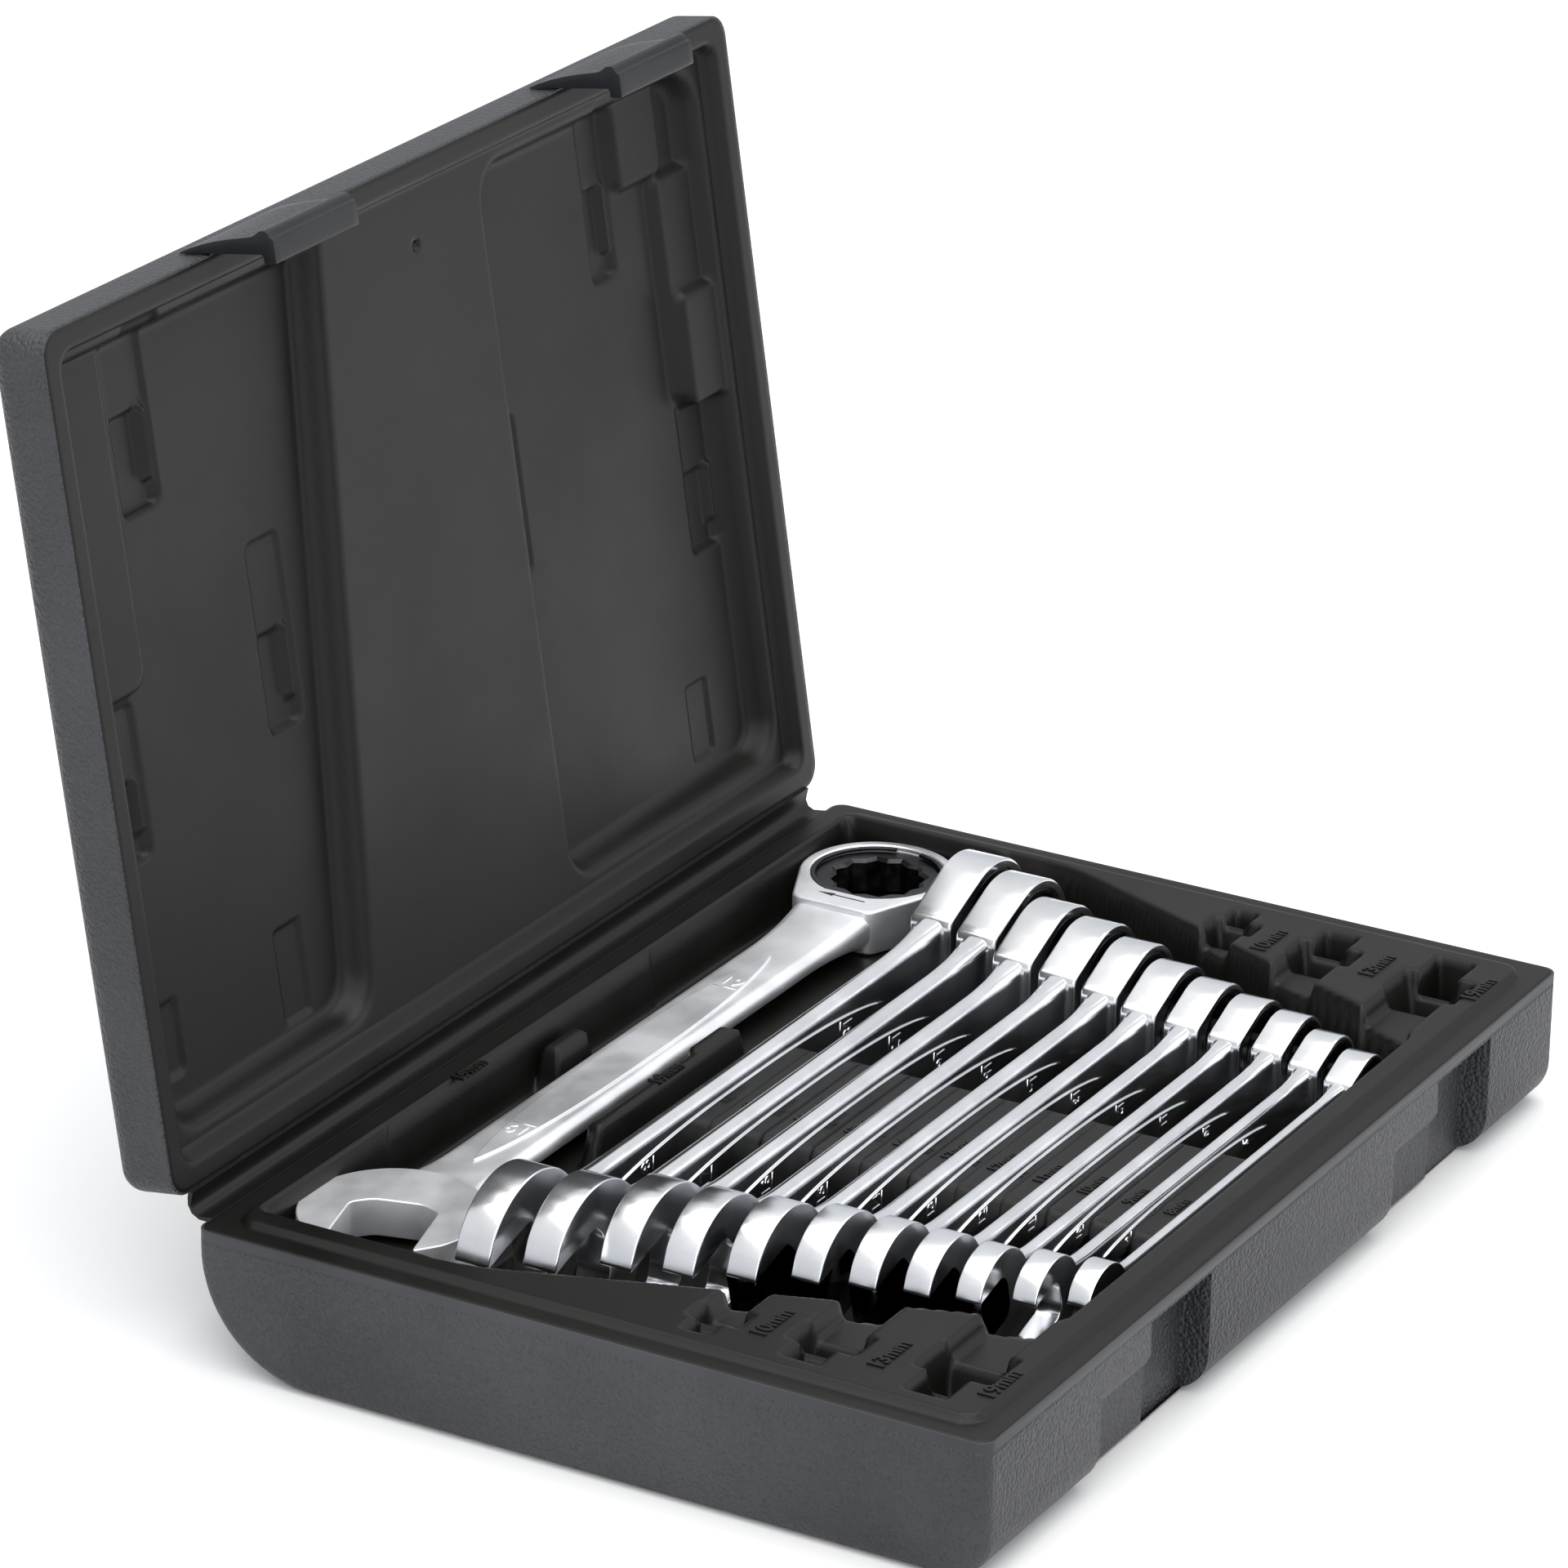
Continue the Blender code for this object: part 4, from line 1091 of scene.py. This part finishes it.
def build_wrench(size):
    m = Measures(size)
    plating = SATIN_CHROME if size == FLAT else CHROME
    head = rounded_plate("open_head", open_outline(m), -m.open_half, m.open_half,
                         0.26 + 0.003 * size, plating, None, 4)
    parts = [build_ring_head(m, plating), head, build_handle(m, plating),
             build_panel(m, 1, plating), build_panel(m, -1, plating)]
    parts += build_figures(m, plating)
    parts.append(build_direction_mark(m, DARK_STEEL))
    body = joined(f"wrench_{size:02d}_forging", parts)
    body.data.transform(in_metres(wrench_move(size)))
    stands_for(body, f"wrench_{size:02d}", f"wrench_{size:02d}")
    build_ratchet(m)


def build_ratchet(m):
    """The toothed insert with its twelve-point hole, and the ring that keeps it in."""
    count = 144
    turn = np.radians(np.arange(count) * 360 / count)
    circle = np.stack([np.cos(turn), np.sin(turn)], 1)
    corners = []
    for k in range(25):
        away = m.size / 2 / math.cos(math.radians(15)) if k % 2 else m.size / math.sqrt(3)
        angle = math.radians(15 * k)
        corners.append((away * math.cos(angle), away * math.sin(angle)))
    corners = np.array(corners)
    along = np.arange(count) / (count / 24)
    star = np.stack([np.interp(along, np.arange(25), corners[:, axis]) for axis in (0, 1)], 1)
    low, high = -m.ring_half + 1.3, m.ring_half - 1.25
    outer = m.gear - 0.1
    teeth = outer - 0.35 * (np.cos(turn * 72) < 0)[:, None]
    rows = [(star * 1.10, high), (circle * (outer - 1.1), high),
            (circle * (outer - 0.9), high - 0.15), (circle * (outer - 0.25), high - 0.15),
            (circle * teeth, high - 0.5), (circle * teeth, low + 0.5),
            (circle * (outer - 0.4), low), (star * 1.07, low), (star, low + 0.5),
            (star, high - 0.7)]
    rings = [np.column_stack([flat, np.full(count, z)]) for flat, z in reversed(rows)]
    insert = ring_loft(f"ratchet_{m.size:02d}_insert", rings, DARK_STEEL, wrench_move(m.size))
    stands_for(insert, f"ratchet_{m.size:02d}", f"ratchet_gear_{m.size:02d}")
    slot = 12  # half the ring's opening, in degrees
    outline = (arc((0, 0), m.gear + 0.33, slot, 360 - slot, 72)
               + arc((0, 0), m.gear - 0.75, 360 - slot, slot, 72))
    clip = rounded_plate(f"retainer_{m.size:02d}", outline, m.ring_half - 0.92,
                         m.ring_half - 0.18, 0.15, SPRING_STEEL, wrench_move(m.size), 2)
    stands_for(clip, f"wrench_{m.size:02d}", f"retaining_ring_{m.size:02d}")
    pawl = frame["nodes"][f"pawl_{m.size:02d}"]
    for held in pawl.material_slots:
        held.material = DARK_STEEL


build_base_shell()
build_tray()
build_lid_shell()
build_lid_liner()
for latch, latch_middle in LATCHES.items():
    build_latch(latch, latch_middle)
build_hinge_web()
for wrench in SIZES:
    build_wrench(wrench)

# ---- room ----------------------------------------------------------------------------------


def build_room():
    """A pale floor, a soft sky and three broad lamps."""
    reach, level = 4, -0.0002
    floor_mesh = bpy.data.meshes.new("floor")
    floor_mesh.from_pydata([(-reach, -reach, level), (reach, -reach, level),
                            (reach, reach, level), (-reach, reach, level)], [], [(0, 1, 2, 3)])
    paint = bpy.data.materials.new("pale_floor")
    paint.use_nodes = True
    surface = paint.node_tree.nodes["Principled BSDF"]
    surface.inputs["Base Color"].default_value = (0.86, 0.86, 0.86, 1)
    surface.inputs["Roughness"].default_value = 0.6
    floor = link("floor", floor_mesh, paint)
    bpy.context.scene.view_settings.view_transform = "Standard"
    world = bpy.data.worlds.new("studio")
    bpy.context.scene.world = world
    world.use_nodes = True
    tree = world.node_tree
    place = node(tree, "TexCoord")
    split = node(tree, "SeparateXYZ")
    height = node(tree, "MapRange", {"From Min": -0.1, "From Max": 0.9})
    shade = node(tree, "ValToRGB")
    shade.color_ramp.elements[0].color = (0.62, 0.66, 0.72, 1)
    shade.color_ramp.elements[1].color = (1.0, 1.0, 1.0, 1)
    sky = tree.nodes["Background"].inputs
    sky["Strength"].default_value = 0.9
    wire(tree, (place.outputs["Generated"], split.inputs[0]),
         (split.outputs["Z"], height.inputs["Value"]),
         (height.outputs["Result"], shade.inputs["Fac"]), (shade.outputs["Color"], sky["Color"]))
    lamp("overhead", (-0.1, -0.1, 1.5), (0, 0, 0), 2.0, 1.8, 26)
    lamp("left_side", (-1.5, -0.6, 1.0), (0, 0, 0.05), 1.8, 1.4, 12)
    lamp("front", (0.9, -1.6, 0.8), (0, 0, 0.03), 1.6, 1.2, 9)


def lamp(name, spot, target, wide, high, power):
    """A soft rectangular lamp that faces its target."""
    light = bpy.data.lights.new(name, "AREA")
    light.shape = "RECTANGLE"
    light.size = wide
    light.size_y = high
    light.energy = power
    holder = bpy.data.objects.new(name, light)
    bpy.context.scene.collection.objects.link(holder)
    holder.location = spot
    holder.rotation_euler = (Vector(target) - Vector(spot)).to_track_quat("-Z", "Y").to_euler()


def place_camera():
    """The camera, aimed beside a spot over the case's middle at the rim's height."""
    turn, tip, roll = math.radians(-60.56), math.radians(22.39), math.radians(0.9)
    shift_across, shift_up, distance = -26.2, 66.5, 1575.4
    back = Vector((math.sin(turn) * math.cos(tip), -math.cos(turn) * math.cos(tip), math.sin(tip)))
    right = Vector((math.cos(turn), math.sin(turn), 0))
    up = back.cross(right)
    across = right * math.cos(roll) + up * math.sin(roll)
    upward = up * math.cos(roll) - right * math.sin(roll)
    spot = (Vector((0, 0, BASE_TOP)) + across * shift_across + upward * shift_up
            + back * distance) * MM
    data = bpy.data.cameras.new("camera")
    data.lens = 167.95
    data.sensor_width = 36
    data.clip_start = 0.05
    holder = bpy.data.objects.new("camera", data)
    bpy.context.scene.collection.objects.link(holder)
    turned = Matrix((across, upward, back)).transposed().to_4x4()
    holder.matrix_world = Matrix.Translation(spot) @ turned
    bpy.context.scene.camera = holder


build_room()
place_camera()
